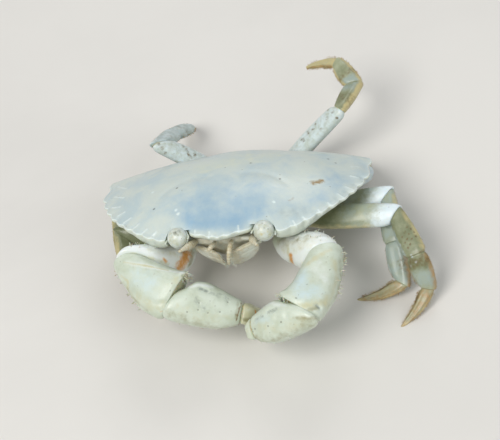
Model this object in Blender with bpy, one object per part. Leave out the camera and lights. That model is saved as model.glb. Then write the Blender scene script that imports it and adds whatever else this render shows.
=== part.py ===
"""Red rock crab, a young pale one, as a still life-size model in its feeding pose.

The crab faces -Y with its left side at +X and stands on the plane z = 0. Body sizes are
shares of the carapace width, given in the body's own frame, which is pitched front up.
Limb joints are chains of length, heading and slope from the coxae. Heading is measured
from straight out sideways, positive towards the rear, and slope is positive upwards.
"""
import math

import bpy
import bmesh
from mathutils import Vector

MM = 0.001
WIDTH = 48 * MM
GAP = 0.3 * MM
BODY_PITCH = math.radians(22)
BODY_PLACE = Vector((-4.8, 2.5, 12.0)) * MM
SIDES = {"left": 1, "right": -1}

# Carapace: a low dome over a toothed outline, in shares of the width
DOME_HEIGHT = 0.104
OUTLINE_CENTRE = Vector((0, -0.06))
FRONT_TEETH = ((0.0, -0.416), (0.036, -0.405), (0.080, -0.380))
FRONT_NOTCH = 0.011
ORBIT_CENTRE = Vector((0.154, -0.360))
ORBIT_RADIUS = 0.0452
SIDE_CURVE = ((0.200, -0.372), (0.350, -0.320), (0.470, -0.190), (0.500, -0.010))
SIDE_TEETH = 9
LAST_TOOTH = ((0.484, 0.036), (0.498, 0.060), (0.492, 0.090))
REAR_CURVE = ((0.474, 0.100), (0.400, 0.150), (0.260, 0.205), (0.165, 0.238))
REAR_EDGE = 0.248
MARGIN_DIP = 0.018
MARGIN_RIM = 0.010
SHELL_UNDER = -0.036
CHEEK_DROP = 0.026
TOP_RINGS = (0.18, 0.36, 0.52, 0.66, 0.78, 0.88, 0.95)

# Underbody: levels of depth, half width, front and rear
UNDER_LEVELS = (
    (-0.0425, 0.355, -0.330, 0.172),
    (-0.060, 0.300, -0.336, 0.172),
    (-0.086, 0.180, -0.318, 0.160),
    (-0.126, 0.125, -0.290, 0.145),
    (-0.158, 0.105, -0.250, 0.125),
    (-0.172, 0.075, -0.215, 0.085),
)
UNDER_POINTS = 40
STUB_LENGTH = 3.8 * MM
COXAE = {
    "claw": Vector((0.170, -0.190, -0.125)),
    "leg_2": Vector((0.190, -0.090, -0.116)),
    "leg_3": Vector((0.200, -0.010, -0.135)),
    "leg_4": Vector((0.175, 0.065, -0.130)),
    "leg_5": Vector((0.120, 0.140, -0.122)),
}

EYE_PLACE = Vector((0.154, -0.361, -0.013))
EYE_RADIUS = 1.58 * MM

# Feelers: the left antennule hangs before the mouth, the right one is folded outwards
ANTENNULES = {
    "left": ((0.030, -0.339, -0.056), (0.030, -0.390, -0.048), (0.018, -0.400, -0.088),
             (0.013, -0.376, -0.128)),
    "right": ((0.030, -0.339, -0.056), (0.034, -0.395, -0.040), (0.044, -0.392, -0.058),
              (0.050, -0.372, -0.066)),
}
ANTENNA = ((0.105, -0.329, -0.052), (0.110, -0.385, -0.040), (0.122, -0.410, -0.030),
           (0.140, -0.436, -0.030))

# Leg joints: length in mm, heading and slope in degrees for merus, carpus and propodus,
# then the dactyl's length and heading, with a slope only where it stays off the floor
LEG_CHAINS = {
    ("left", "leg_2"): ((19.3, -9.3, 5.6), (8.0, -66, -17), (6.2, -69, -55), (7.2, -131, None)),
    ("left", "leg_3"): ((16.9, -3.5, 9.5), (8.3, -83, -21), (7.1, -82, -29), (7.6, -173, None)),
    ("left", "leg_4"): ((14.3, 18, 2), (5.1, 110, -36), (4.7, 150, -9), (6.3, 172, None)),
    ("left", "leg_5"): ((18.3, 40.6, 27.7), (6.7, 69, -4), (5.9, 124, 12), (7.3, 159, -22)),
    ("right", "leg_2"): ((11.5, -5.8, 1.1), (7.0, -104, -28), (5.2, -121, -35), (6.2, -172, None)),
    ("right", "leg_3"): ((13.1, 8, 1), (6.8, -100, -26), (4.8, -124, -17), (6.3, -168, None)),
    ("right", "leg_4"): ((14.5, 16, -1), (5.4, 105, -24), (5.1, 144, -8), (6.2, 175, None)),
    ("right", "leg_5"): ((14.3, 40, 29), (6.6, 101, -32), (5.8, 112, -35), (5.9, 74, None)),
}
# Towards the upper edge of each merus, from which the rest of the leg follows
LEG_UPPER_EDGE = {
    ("left", "leg_2"): Vector((0.1, 0.85, 0.5)),
    ("left", "leg_3"): Vector((0.1, 0.85, 0.5)),
    ("left", "leg_4"): Vector((0, 0.1, 1)),
    ("left", "leg_5"): Vector((0.6, -0.75, 0.1)),
    ("right", "leg_2"): Vector((0, 0.6, 0.8)),
    ("right", "leg_3"): Vector((0, 0.5, 0.85)),
    ("right", "leg_4"): Vector((0, 0.1, 1)),
    ("right", "leg_5"): Vector((0.6, -0.75, 0.3)),
}
# How far the root of the last merus swings under the shell's rear edge
REAR_LEG_SAG = {"left": Vector((-4.6, 4.4, -5.0)) * MM, "right": Vector((-5.0, 5.8, -6.2)) * MM}

# Leg sections: place along, half height and half thickness in mm
LEG_SECTIONS = {
    "merus": ((0, 1.15, 0.8), (0.14, 1.5, 1.0), (0.4, 2.15, 1.2), (0.75, 2.1, 1.25),
              (0.93, 1.95, 1.2), (1, 1.6, 1.05)),
    "carpus": ((0, 1.35, 0.95), (0.15, 1.55, 1.05), (0.6, 1.95, 1.15), (0.88, 1.9, 1.1),
               (1, 1.6, 0.95)),
    "propodus": ((0, 1.5, 0.9), (0.15, 1.8, 1.0), (0.5, 1.9, 1.0), (0.85, 1.55, 0.9),
                 (1, 1.2, 0.8)),
    "dactyl": ((0, 1.05, 0.7), (0.15, 1.1, 0.75), (0.45, 0.9, 0.6), (0.75, 0.6, 0.45),
               (1, 0.3, 0.27)),
}
LEG_SIDES = 10
LEG_DEPTH = {"leg_2": 1.0, "leg_3": 1.0, "leg_4": 0.95, "leg_5": 0.9}
DACTYL_BOW = 0.5 * MM

# Claws: joints in mm from the body's middle over the floor, then upper edge directions
CLAW_JOINTS = {
    "left": {"knuckle": (9.3, -13.4, 8.6), "elbow": (16.4, -19.4, 13.2),
             "wrist": (13.4, -30.0, 13.2), "palm_end": (5.2, -29.7, 9.2),
             "tip": (5.6, -24.8, 1.3)},
    "right": {"knuckle": (-9.0, -13.0, 7.9), "elbow": (-15.2, -18.7, 13.8),
              "wrist": (-8.8, -25.5, 12.4), "palm_end": (1.9, -25.4, 7.9),
              "tip": (2.9, -20.2, 1.3)},
}
WRIST_SQUARENESS = 2.0
MERUS_UPPER_EDGE = {"left": Vector((0.55, 0.1, 0.8)), "right": Vector((-0.2, 0.35, 0.95))}
CARPUS_INNER_EDGE = {"left": Vector((-0.9, 0.2, 0.15)), "right": Vector((0.6, 0.55, 0.5))}
PALM_UPPER_EDGE = {"left": Vector((0.1, 0.74, 0.67)), "right": Vector((0.0, 0.74, 0.67))}

# Claw sections: place along, reach to the upper and lower edge, half thickness, in mm
CLAW_SECTIONS = {
    "left_merus": ((0, 1.7, 1.7, 1.5), (0.15, 2.0, 2.0, 1.8), (0.4, 3.3, 2.4, 2.3),
                   (0.65, 3.6, 2.3, 2.7), (0.88, 3.3, 2.6, 2.8), (1, 2.6, 2.6, 2.4)),
    "right_merus": ((0, 1.7, 1.7, 1.5), (0.15, 2.0, 2.1, 1.8), (0.4, 3.3, 3.0, 2.3),
                    (0.65, 3.45, 3.3, 2.7), (0.88, 3.6, 3.5, 2.8), (1, 3.2, 2.9, 2.4)),
    "left_carpus": ((0, 2.2, 2.4, 2.0), (0.22, 2.5, 3.7, 2.7), (0.55, 2.9, 4.5, 3.1),
                    (0.8, 3.7, 4.0, 2.9), (0.93, 4.4, 3.6, 2.6), (1, 4.2, 2.9, 2.2)),
    "right_carpus": ((0, 2.2, 2.4, 2.0), (0.22, 3.1, 3.7, 2.7), (0.55, 4.1, 4.5, 3.1),
                     (0.8, 4.9, 4.0, 2.9), (0.93, 5.5, 3.6, 2.6), (1, 5.3, 2.9, 2.2)),
    "left_palm": ((0, 1.7, 2.4, 1.9), (0.1, 2.1, 3.1, 2.4), (0.28, 3.0, 3.5, 2.8),
                  (0.45, 3.2, 3.6, 2.9), (0.65, 2.9, 3.5, 2.7), (0.86, 2.4, 2.9, 2.3),
                  (1, 2.0, 2.4, 2.0)),
    "right_palm": ((0, 1.9, 2.4, 1.9), (0.1, 2.6, 3.0, 2.4), (0.28, 4.1, 3.3, 2.8),
                   (0.42, 4.2, 3.4, 2.9), (0.65, 3.5, 3.3, 2.7), (0.86, 2.6, 2.7, 2.3),
                   (1, 2.1, 2.1, 2.0)),
    "fixed_finger": ((0, 1.6, 1.8, 1.2), (0.3, 1.5, 1.7, 1.1), (0.65, 1.1, 1.2, 0.8),
                     (1, 0.4, 0.4, 0.35)),
    "moving_finger": ((0, 1.7, 1.8, 1.3), (0.12, 1.75, 1.85, 1.35), (0.35, 1.45, 1.5, 1.2),
                      (0.68, 0.95, 0.95, 0.85), (1, 0.35, 0.35, 0.3)),
}
CLAW_SIDES = 14
# How far the moving finger runs on past the palm before it bends down
FINGER_REACH = {"left": 1.8 * MM, "right": 3.4 * MM}

COLOURS = {
    "shell": (0.62, 0.70, 0.74),
    "underside": (0.66, 0.62, 0.50),
    "claw": (0.80, 0.80, 0.69),
    "leg": (0.66, 0.67, 0.54),
    "eye": (0.78, 0.78, 0.72),
}


def body_to_model(point):
    """A body point, in shares of the width, as a place in the model."""
    x, y, z = point
    cosine = math.cos(BODY_PITCH)
    sine = math.sin(BODY_PITCH)
    turned = Vector((x, y * cosine + z * sine, z * cosine - y * sine))
    return turned * WIDTH + BODY_PLACE


def mirrored(vector, side):
    """The vector given for the crab's left, on the asked side."""
    return Vector((vector[0] * SIDES[side], vector[1], vector[2]))


def bezier(controls, t):
    """The point at t of the Bezier curve through the control points."""
    points = [Vector(p) for p in controls]
    while len(points) > 1:
        points = [a.lerp(b, t) for a, b in zip(points, points[1:])]
    return points[0]


def direction(side, heading, slope):
    """Unit vector at a heading from straight out sideways and a slope, in degrees."""
    turn = math.radians(heading)
    rise = math.radians(slope)
    flat = math.cos(rise)
    return Vector((SIDES[side] * math.cos(turn) * flat, math.sin(turn) * flat, math.sin(rise)))


def material(name):
    """The plain finish of that name."""
    finish = bpy.data.materials.get(name)
    if finish is None:
        finish = bpy.data.materials.new(name)
        finish.use_nodes = True
        shader = finish.node_tree.nodes["Principled BSDF"]
        shader.inputs["Base Color"].default_value = (*COLOURS[name], 1)
        shader.inputs["Roughness"].default_value = 0.5
        shader.inputs["Metallic"].default_value = 0
    return finish


def make_object(name, bm, finish):
    """A named object from a bmesh whose faces are turned outwards."""
    bmesh.ops.recalc_face_normals(bm, faces=bm.faces)
    mesh = bpy.data.meshes.new(name)
    bm.to_mesh(mesh)
    bm.free()
    mesh.shade_smooth()
    mesh.set_sharp_from_angle(angle=math.radians(50))
    mesh.materials.append(material(finish))
    thing = bpy.data.objects.new(name, mesh)
    bpy.context.scene.collection.objects.link(thing)
    return thing


def skin_rings(bm, rings):
    """Close a solid over rings of points, each ring with the same number."""
    loops = [[bm.verts.new(p) for p in ring] for ring in rings]
    count = len(loops[0])
    for lower, upper in zip(loops, loops[1:]):
        for i in range(count):
            j = (i + 1) % count
            bm.faces.new((lower[i], lower[j], upper[j], upper[i]))
    for loop in (loops[0], loops[-1]):
        centre = bm.verts.new(sum((v.co for v in loop), Vector()) / count)
        for i in range(count):
            bm.faces.new((loop[i], loop[(i + 1) % count], centre))


class Sweep:
    """A limb piece: sections along a curve, with its two ends cut on given planes."""

    def __init__(self, path, upper_edge, start_normal=None, end_normal=None, floor_end=False):
        self.path = [Vector(p) for p in path]
        self.upper_edge = upper_edge
        self.start_normal = start_normal or self.tangent(0)
        self.end_normal = end_normal or self.tangent(1)
        self.floor_end = floor_end

    def tangent(self, t):
        """The curve's direction at t."""
        step = 0.01
        before = bezier(self.path, max(t - step, 0))
        after = bezier(self.path, min(t + step, 1))
        return (after - before).normalized()

    def frame(self, t):
        """Centre, tangent, upper edge and outer face directions at t."""
        tangent = self.tangent(t)
        upper = (self.upper_edge - tangent * self.upper_edge.dot(tangent)).normalized()
        return bezier(self.path, t), tangent, upper, tangent.cross(upper)

    def slide(self, point, tangent, t):
        """Shift a point along the piece so that its end rings lie on the end planes."""
        start, end = self.path[0], self.path[-1]
        gap_at_end = 0 if self.floor_end else GAP / 2
        to_start = (start - point).dot(self.start_normal) + GAP / 2
        to_end = (end - point).dot(self.end_normal) - gap_at_end
        blend = 0.45
        near_start = max(0.0, 1 - t / blend)
        near_end = max(0.0, 1 - (1 - t) / blend)
        offset_start = start - bezier(self.path, t)
        offset_end = end - bezier(self.path, t)
        to_start -= offset_start.dot(self.start_normal)
        to_end -= offset_end.dot(self.end_normal)
        move = near_start * to_start / tangent.dot(self.start_normal)
        move += near_end * to_end / tangent.dot(self.end_normal)
        return point + tangent * move

    def ring(self, t, up, down, half_thickness, sides, power=2.3):
        """One closed section, a superellipse with its own reach up and down."""
        centre, tangent, upper, outer = self.frame(t)
        middle = centre + upper * (up - down) / 2
        half_height = (up + down) / 2
        points = []
        for i in range(sides):
            angle = 2 * math.pi * (i + 0.5) / sides
            c, s = math.cos(angle), math.sin(angle)
            along_up = math.copysign(abs(c) ** (2 / power), c) * half_height
            along_out = math.copysign(abs(s) ** (2 / power), s) * half_thickness
            point = middle + upper * along_up + outer * along_out
            points.append(self.slide(point, tangent, t))
        return points

    def rings(self, sections, sides):
        """All sections, given as place, reach up, reach down and half thickness in mm."""
        return [self.ring(t, up * MM, down * MM, out * MM, sides)
                for t, up, down, out in sections]


def join_plane(before, after):
    """The normal of the plane that halves the bend between two directions."""
    return (before + after).normalized()


def fuse(name, pieces, finish, solver="EXACT"):
    """Union of closed objects, kept as its largest closed surface."""
    group = bpy.data.collections.new(name + "_pieces")
    base, rest = pieces[0], pieces[1:]
    for piece in rest:
        group.objects.link(piece)
    union = base.modifiers.new("union", "BOOLEAN")
    union.operation = "UNION"
    union.operand_type = "COLLECTION"
    union.collection = group
    union.solver = solver
    evaluated = base.evaluated_get(bpy.context.evaluated_depsgraph_get())
    bm = bmesh.new()
    bm.from_mesh(evaluated.to_mesh())
    evaluated.to_mesh_clear()
    for piece in pieces:
        bpy.data.objects.remove(piece)
    bpy.data.collections.remove(group)
    keep_largest(bm)
    return make_object(name, bm, finish)


def keep_largest(bm):
    """Delete every shell but the one with the most faces."""
    shells = []
    seen = set()
    for face in bm.faces:
        if face in seen:
            continue
        shell = {face}
        front = [face]
        while front:
            for edge in front.pop().edges:
                for other in edge.link_faces:
                    if other not in shell:
                        shell.add(other)
                        front.append(other)
        seen |= shell
        shells.append(shell)
    largest = max(shells, key=len)
    bmesh.ops.delete(bm, geom=[f for f in bm.faces if f not in largest], context="FACES")
    loose = [v for v in bm.verts if not v.link_faces]
    bmesh.ops.delete(bm, geom=loose, context="VERTS")


def margin_height(x):
    """Height of the carapace margin, which dips towards the orbits."""
    return -MARGIN_DIP * math.exp(-(((abs(x) - 0.22) / 0.10) ** 2))


def cheek_drop(point):
    """How far the margin is rolled under beside each orbit."""
    if point.y > -0.2:
        return 0.0
    return CHEEK_DROP * math.exp(-(((abs(point.x) - 0.27) / 0.085) ** 2))


def half_outline():
    """Pairs of toothed and smooth margin points, from the middle tooth to the rear edge."""
    pairs = []
    for (x0, y0), (x1, y1) in zip(FRONT_TEETH, FRONT_TEETH[1:]):
        pairs.append((Vector((x0, y0)), Vector((x0, y0))))
        notch = Vector(((x0 + x1) / 2, (y0 + y1) / 2))
        pairs.append((notch + Vector((0, FRONT_NOTCH)), notch))
    pairs.append((Vector(FRONT_TEETH[-1]), Vector(FRONT_TEETH[-1])))
    orbit_steps = 6
    for i in range(orbit_steps + 1):
        angle = math.pi * i / orbit_steps
        around = Vector((-math.cos(angle), math.sin(angle))) * ORBIT_RADIUS
        smooth = Vector((ORBIT_CENTRE.x + around.x, ORBIT_CENTRE.y - 0.008))
        pairs.append((ORBIT_CENTRE + around, smooth))
    for tooth in range(SIDE_TEETH):
        depth = 0.006 + 0.006 * tooth / SIDE_TEETH
        for share, rise in ((0.0, -depth), (0.28, 0.005), (0.7, 0.001)):
            t = (tooth + share) / SIDE_TEETH
            here = bezier(SIDE_CURVE, t)
            ahead = bezier(SIDE_CURVE, min(t + 0.02, 1.02)) - here
            outward = Vector((-ahead.y, ahead.x)).normalized()
            if outward.dot(here - OUTLINE_CENTRE) < 0:
                outward = -outward
            pairs.append((here + outward * rise, here))
    for point in LAST_TOOTH:
        pairs.append((Vector(point), Vector((0.488, point[1]))))
    rear_steps = 6
    for i in range(rear_steps + 1):
        point = bezier(REAR_CURVE, i / rear_steps)
        pairs.append((point, point))
    for x in (0.11, 0.055, 0.0):
        y = REAR_EDGE - 0.010 * (x / 0.165) ** 2
        pairs.append((Vector((x, y)), Vector((x, y))))
    return pairs


def full_outline():
    """The whole margin as pairs, once round from the middle tooth."""
    half = half_outline()
    other = [(Vector((-a.x, a.y)), Vector((-b.x, b.y))) for a, b in half[1:-1]]
    return half + other[::-1]


def dome_height(share):
    """Height of the dome over the margin, from its top at 0 to the margin at 1."""
    return DOME_HEIGHT * (1 - share ** 2.1) ** 0.95


def carapace():
    """The toothed dome with its thin rim and flat inner face."""
    outline = full_outline()

    def ring(share, height_of, detail=1.0):
        """One ring at a share of the outline, with that much of the teeth in it."""
        points = []
        for toothed, smooth in outline:
            flat = OUTLINE_CENTRE + (smooth.lerp(toothed, detail) - OUTLINE_CENTRE) * share
            points.append(body_to_model((flat.x, flat.y, height_of(toothed))))
        return points

    rings = [ring(0.82, lambda p: SHELL_UNDER)]
    rings.append(ring(0.90, lambda p: SHELL_UNDER + 0.008 - cheek_drop(p) * 0.8))
    rings.append(ring(0.985, lambda p: margin_height(p.x) - MARGIN_RIM - cheek_drop(p)))
    rings.append(ring(1.0, lambda p: margin_height(p.x)))
    for share in reversed(TOP_RINGS):
        dip = share ** 4
        detail = max((share - 0.84) / 0.16, 0.0)
        rings.append(ring(share, lambda p: dome_height(share) + margin_height(p.x) * dip, detail))
    bm = bmesh.new()
    skin_rings(bm, rings)
    top = bm.verts[:][-1]
    top.co = body_to_model((*OUTLINE_CENTRE, DOME_HEIGHT))
    make_object("carapace", bm, "shell")


def under_ring(depth, half_width, front, rear):
    """One level of the underbody, a superellipse with its own front and rear."""
    middle = (front + rear) / 2
    half_length = (rear - front) / 2
    points = []
    for i in range(UNDER_POINTS):
        angle = 2 * math.pi * i / UNDER_POINTS
        c, s = math.cos(angle), math.sin(angle)
        x = math.copysign(abs(c) ** 0.9, c) * half_width
        y = math.copysign(abs(s) ** 0.75, s) * half_length + middle
        points.append(body_to_model((x, y, depth)))
    return points


def claw_points(side):
    """The claw's joints as places in the model, from the coxa to the finger tips."""
    base = Vector((BODY_PLACE.x, BODY_PLACE.y, 0))
    points = {"coxa": body_to_model(mirrored(COXAE["claw"], side))}
    for joint, place in CLAW_JOINTS[side].items():
        points[joint] = Vector(place) * MM + base
    return points


def leg_points(side, leg):
    """The leg's five joints as places in the model."""
    points = [body_to_model(mirrored(COXAE[leg], side))]
    chain = LEG_CHAINS[side, leg]
    for length, heading, slope in chain[:3]:
        points.append(points[-1] + direction(side, heading, slope) * length * MM)
    length, heading, slope = chain[3]
    if slope is None:
        slope = -math.degrees(math.asin(points[-1].z / (length * MM)))
    points.append(points[-1] + direction(side, heading, slope) * length * MM)
    return points


def first_heading(side, root):
    """The direction in which a limb leaves its coxa."""
    if root == "claw":
        points = claw_points(side)
        return (points["knuckle"] - points["coxa"]).normalized()
    points = leg_points(side, root)
    if root == "leg_5":
        return rear_merus_path(side, points).tangent(0)
    return (points[1] - points[0]).normalized()


def rear_merus_path(side, points):
    """The last merus, which dips under the shell's rear edge before it rises."""
    start, end = points[0], points[1]
    sag = mirrored(REAR_LEG_SAG[side], side)
    path = (start, start.lerp(end, 0.3) + sag, start.lerp(end, 0.62) + sag * 0.45, end)
    return Sweep(path, LEG_UPPER_EDGE[side, "leg_5"])


def underbody():
    """Sternum and mouth field in one solid, with a stub for each of the ten limbs."""
    bm = bmesh.new()
    skin_rings(bm, [under_ring(*level) for level in UNDER_LEVELS])
    pieces = [make_object("underbody_core", bm, "underside")]
    for side in SIDES:
        for root, coxa in COXAE.items():
            outer = body_to_model(mirrored(coxa, side))
            heading = first_heading(side, root)
            inner = outer - heading * STUB_LENGTH
            size = 1.7 if root == "claw" else 1.05
            stub = Sweep((inner, outer), Vector((0, 0.3, 1)), end_normal=heading)
            sections = [(t, size * k, size * k, size * k * 0.85)
                        for t, k in ((0, 0.8), (0.5, 1.05), (1, 1))]
            bm = bmesh.new()
            skin_rings(bm, stub.rings(sections, 8))
            pieces.append(make_object(f"stub_{side}_{root}", bm, "underside"))
    fuse("underbody", pieces, "underside", "MANIFOLD")


def abdomen():
    """The narrow tail flap folded under the sternum."""
    under = UNDER_LEVELS[-1][0] - 0.013
    path = [body_to_model(p) for p in
            ((0, 0.137, -0.171), (0, 0.095, under - 0.012), (0, 0.0, under - 0.010),
             (0, -0.075, under - 0.008))]
    flap = Sweep(path, Vector((1, 0, 0)))
    sections = [(0, 3.1, 3.1, 0.3), (0.15, 3.2, 3.2, 0.33), (0.6, 2.2, 2.2, 0.35),
                (0.9, 1.2, 1.2, 0.33), (1, 0.6, 0.6, 0.25)]
    bm = bmesh.new()
    skin_rings(bm, flap.rings(sections, 12))
    make_object("abdomen", bm, "underside")


def maxilliped(side):
    """The outer mouth plate on one side."""
    path = [body_to_model(mirrored(p, side)) for p in
            ((0.066, -0.345, -0.074), (0.066, -0.331, -0.105), (0.058, -0.298, -0.152),
             (0.045, -0.235, -0.188))]
    plate = Sweep(path, mirrored((1, 0.5, 0.2), side))
    sections = [(0, 2.1, 2.1, 0.35), (0.2, 2.7, 2.7, 0.42), (0.6, 2.5, 2.5, 0.42),
                (1, 1.3, 1.3, 0.35)]
    bm = bmesh.new()
    skin_rings(bm, plate.rings(sections, 10))
    make_object(f"maxilliped_{side}", bm, "underside")


def eye(side):
    """The eye's ball in its orbit."""
    bm = bmesh.new()
    bmesh.ops.create_icosphere(bm, subdivisions=3, radius=EYE_RADIUS)
    bmesh.ops.translate(bm, verts=bm.verts, vec=body_to_model(mirrored(EYE_PLACE, side)))
    make_object(f"eye_{side}", bm, "eye")


def feelers(side):
    """The folded antennule and the short antenna of one side."""
    for name, path, sizes in (("antennule", ANTENNULES[side], (0.36, 0.42, 0.36, 0.27)),
                              ("antenna", ANTENNA, (0.5, 0.45, 0.3, 0.25))):
        places = [body_to_model(mirrored(p, side)) for p in path]
        tube = Sweep(places, mirrored((1, 0, 0), side))
        sections = [(t, size, size, size) for t, size in zip((0, 0.3, 0.7, 1), sizes)]
        bm = bmesh.new()
        skin_rings(bm, tube.rings(sections, 8))
        make_object(f"{name}_{side}", bm, "underside")


def walking_leg(side, leg):
    """Merus, carpus, propodus and dactyl of one walking leg, each its own object."""
    points = leg_points(side, leg)
    chords = [(b - a).normalized() for a, b in zip(points, points[1:])]
    upper = LEG_UPPER_EDGE[side, leg].copy()
    upper.x *= SIDES[side]
    raised = points[-1].z > 1 * MM
    for index, (piece, sections) in enumerate(LEG_SECTIONS.items()):
        chord = chords[index]
        if index:
            upper = chords[index - 1].rotation_difference(chord) @ upper
        upper = (upper - chord * upper.dot(chord)).normalized()
        start, end = points[index], points[index + 1]
        path = (start, start.lerp(end, 0.33), start.lerp(end, 0.67), end)
        if piece == "dactyl":
            path = (start, path[1] + upper * DACTYL_BOW, path[2] + upper * DACTYL_BOW, end)
        if piece == "merus" and leg == "leg_5":
            path = rear_merus_path(side, points).path
        on_floor = piece == "dactyl" and not raised
        start_normal = join_plane(chords[index - 1], chord) if index else None
        end_normal = join_plane(chord, chords[index + 1]) if index < 3 else None
        if on_floor:
            end_normal = Vector((0, 0, -1))
        sweep = Sweep(path, upper, start_normal, end_normal, floor_end=on_floor)
        depth = LEG_DEPTH[leg]
        rows = [(t, high * depth, high * depth, out) for t, high, out in sections]
        bm = bmesh.new()
        skin_rings(bm, sweep.rings(rows, LEG_SIDES))
        make_object(f"{side}_{leg}_{piece}", bm, "leg")


def claw(side):
    """The four pieces of one claw: merus, carpus, palm with its finger, moving finger."""
    at = claw_points(side)
    arm = (at["elbow"] - at["knuckle"]).normalized()
    fore = (at["wrist"] - at["elbow"]).normalized()
    hand = (at["palm_end"] - at["wrist"]).normalized()
    elbow_plane = join_plane(arm, fore)
    wrist_plane = join_plane(fore * WRIST_SQUARENESS, hand)
    merus_edge = MERUS_UPPER_EDGE[side]
    inner_edge = CARPUS_INNER_EDGE[side]
    palm_edge = PALM_UPPER_EDGE[side]
    merus_path = (at["coxa"], at["knuckle"], at["knuckle"].lerp(at["elbow"], 0.45), at["elbow"])
    merus = Sweep(merus_path, merus_edge, end_normal=elbow_plane)
    carpus = Sweep((at["elbow"], at["wrist"]), inner_edge, elbow_plane, wrist_plane)
    palm = Sweep((at["wrist"], at["palm_end"]), palm_edge, wrist_plane)
    for name, sweep in (("merus", merus), ("carpus", carpus)):
        bm = bmesh.new()
        skin_rings(bm, sweep.rings(CLAW_SECTIONS[f"{side}_{name}"], CLAW_SIDES))
        make_object(f"{side}_claw_{name}", bm, "claw")

    towards = (palm_edge - hand * palm_edge.dot(hand)).normalized()
    outer = hand.cross(towards) * -SIDES[side]
    end, tip = at["palm_end"], at["tip"]
    reach = FINGER_REACH[side]
    finger_path = (end - hand * 1.6 * MM - outer * 1.0 * MM,
                   end + hand * (reach - 2.9 * MM) - outer * 2.4 * MM, tip - hand * 1.0 * MM)
    fixed = Sweep(finger_path, palm_edge)
    palm_bm = bmesh.new()
    skin_rings(palm_bm, palm.rings(CLAW_SECTIONS[f"{side}_palm"], CLAW_SIDES))
    finger_bm = bmesh.new()
    skin_rings(finger_bm, fixed.rings(CLAW_SECTIONS["fixed_finger"], CLAW_SIDES))
    fuse(f"{side}_claw_propodus", [make_object("palm", palm_bm, "claw"),
                                   make_object("finger", finger_bm, "claw")], "claw")
    moving_path = (end + outer * 0.5 * MM, end + hand * reach + outer * 0.5 * MM,
                   tip + hand * 0.5 * MM)
    moving = Sweep(moving_path, palm_edge)
    bm = bmesh.new()
    skin_rings(bm, moving.rings(CLAW_SECTIONS["moving_finger"], CLAW_SIDES))
    make_object(f"{side}_claw_dactyl", bm, "claw")


def main():
    """Build the crab in an empty scene."""
    for thing in list(bpy.data.objects):
        bpy.data.objects.remove(thing)
    carapace()
    underbody()
    abdomen()
    for side in SIDES:
        maxilliped(side)
        eye(side)
        feelers(side)
        claw(side)
        for leg in LEG_DEPTH:
            walking_leg(side, leg)


if __name__ == "__main__":
    main()
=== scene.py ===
"""The looks of the red rock crab: shell, claws, legs, face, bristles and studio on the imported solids."""
from __future__ import annotations

import logging
import math
from dataclasses import dataclass, field
from enum import Enum
from functools import reduce

import bmesh
import bpy
import numpy as np
from mathutils import Matrix, Vector
from mathutils.bvhtree import BVHTree


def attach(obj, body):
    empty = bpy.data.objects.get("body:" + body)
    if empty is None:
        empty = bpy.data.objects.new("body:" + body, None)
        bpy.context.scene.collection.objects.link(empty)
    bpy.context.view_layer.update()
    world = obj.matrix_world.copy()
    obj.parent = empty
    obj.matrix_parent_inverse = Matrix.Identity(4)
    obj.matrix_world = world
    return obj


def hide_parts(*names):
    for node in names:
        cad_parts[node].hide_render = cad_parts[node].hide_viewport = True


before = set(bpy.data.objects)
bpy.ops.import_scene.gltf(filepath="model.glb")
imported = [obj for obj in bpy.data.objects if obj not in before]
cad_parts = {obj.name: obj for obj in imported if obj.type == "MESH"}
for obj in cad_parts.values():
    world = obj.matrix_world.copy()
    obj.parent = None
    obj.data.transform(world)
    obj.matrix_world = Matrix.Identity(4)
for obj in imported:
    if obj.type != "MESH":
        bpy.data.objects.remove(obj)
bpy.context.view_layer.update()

LOG = logging.getLogger("crab")
MM = 0.001
WIDTH = 48 * MM
GAP = 0.3 * MM
BODY_PITCH = math.radians(22)
BODY_PLACE = np.array((-4.8, 2.5, 12.0)) * MM
SIDES = {"left": 1, "right": -1}
MAIN_BODY = "root"
SEED = 7

Colour = tuple[float, float, float]
Point = tuple[float, float, float]
Pixel = tuple[float, float]
Span = tuple[float, float]
Row = tuple[float, ...]


class Tint(Enum):
    """What a mark does to the surface under it."""

    BLUE = "blue"
    CREAM = "cream"
    WHITE = "white"
    GREY = "grey"
    OLIVE = "olive"
    BROWN = "brown"
    RUST = "rust"
    DOT = "dot"
    RELIEF = "relief"


def srgb(red: int, green: int, blue: int) -> Colour:
    """Give the scene-linear colour of an 8-bit display colour.

    Args:
        red: Red part, 0 to 255.
        green: Green part, 0 to 255.
        blue: Blue part, 0 to 255.

    Returns:
        The three linear parts.
    """
    parts = (part / 255 for part in (red, green, blue))
    return tuple(part / 12.92 if part < 0.04 else ((part + 0.055) / 1.055) ** 2.4 for part in parts)


def unit(vector: np.ndarray) -> np.ndarray:
    """Scale vectors, held in the last axis, to length one."""
    return vector / np.maximum(np.linalg.norm(vector, axis=-1, keepdims=True), 1e-12)


def smooth_step(value: np.ndarray, low: float, high: float) -> np.ndarray:
    """Rise softly from 0 at low to 1 at high."""
    share = np.clip((value - low) / (high - low), 0, 1)
    return share * share * (3 - 2 * share)


def between(value: np.ndarray, rise: Span, fall: Span) -> np.ndarray:
    """Rise softly from 0 to 1 over one span and fall back to 0 over another."""
    return smooth_step(value, *rise) * (1 - smooth_step(value, *fall))


def hump(value: np.ndarray, centre: float, width: float) -> np.ndarray:
    """Swell softly from 0 to 1 around a centre."""
    return np.exp(-(((value - centre) / width) ** 2))


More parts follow.
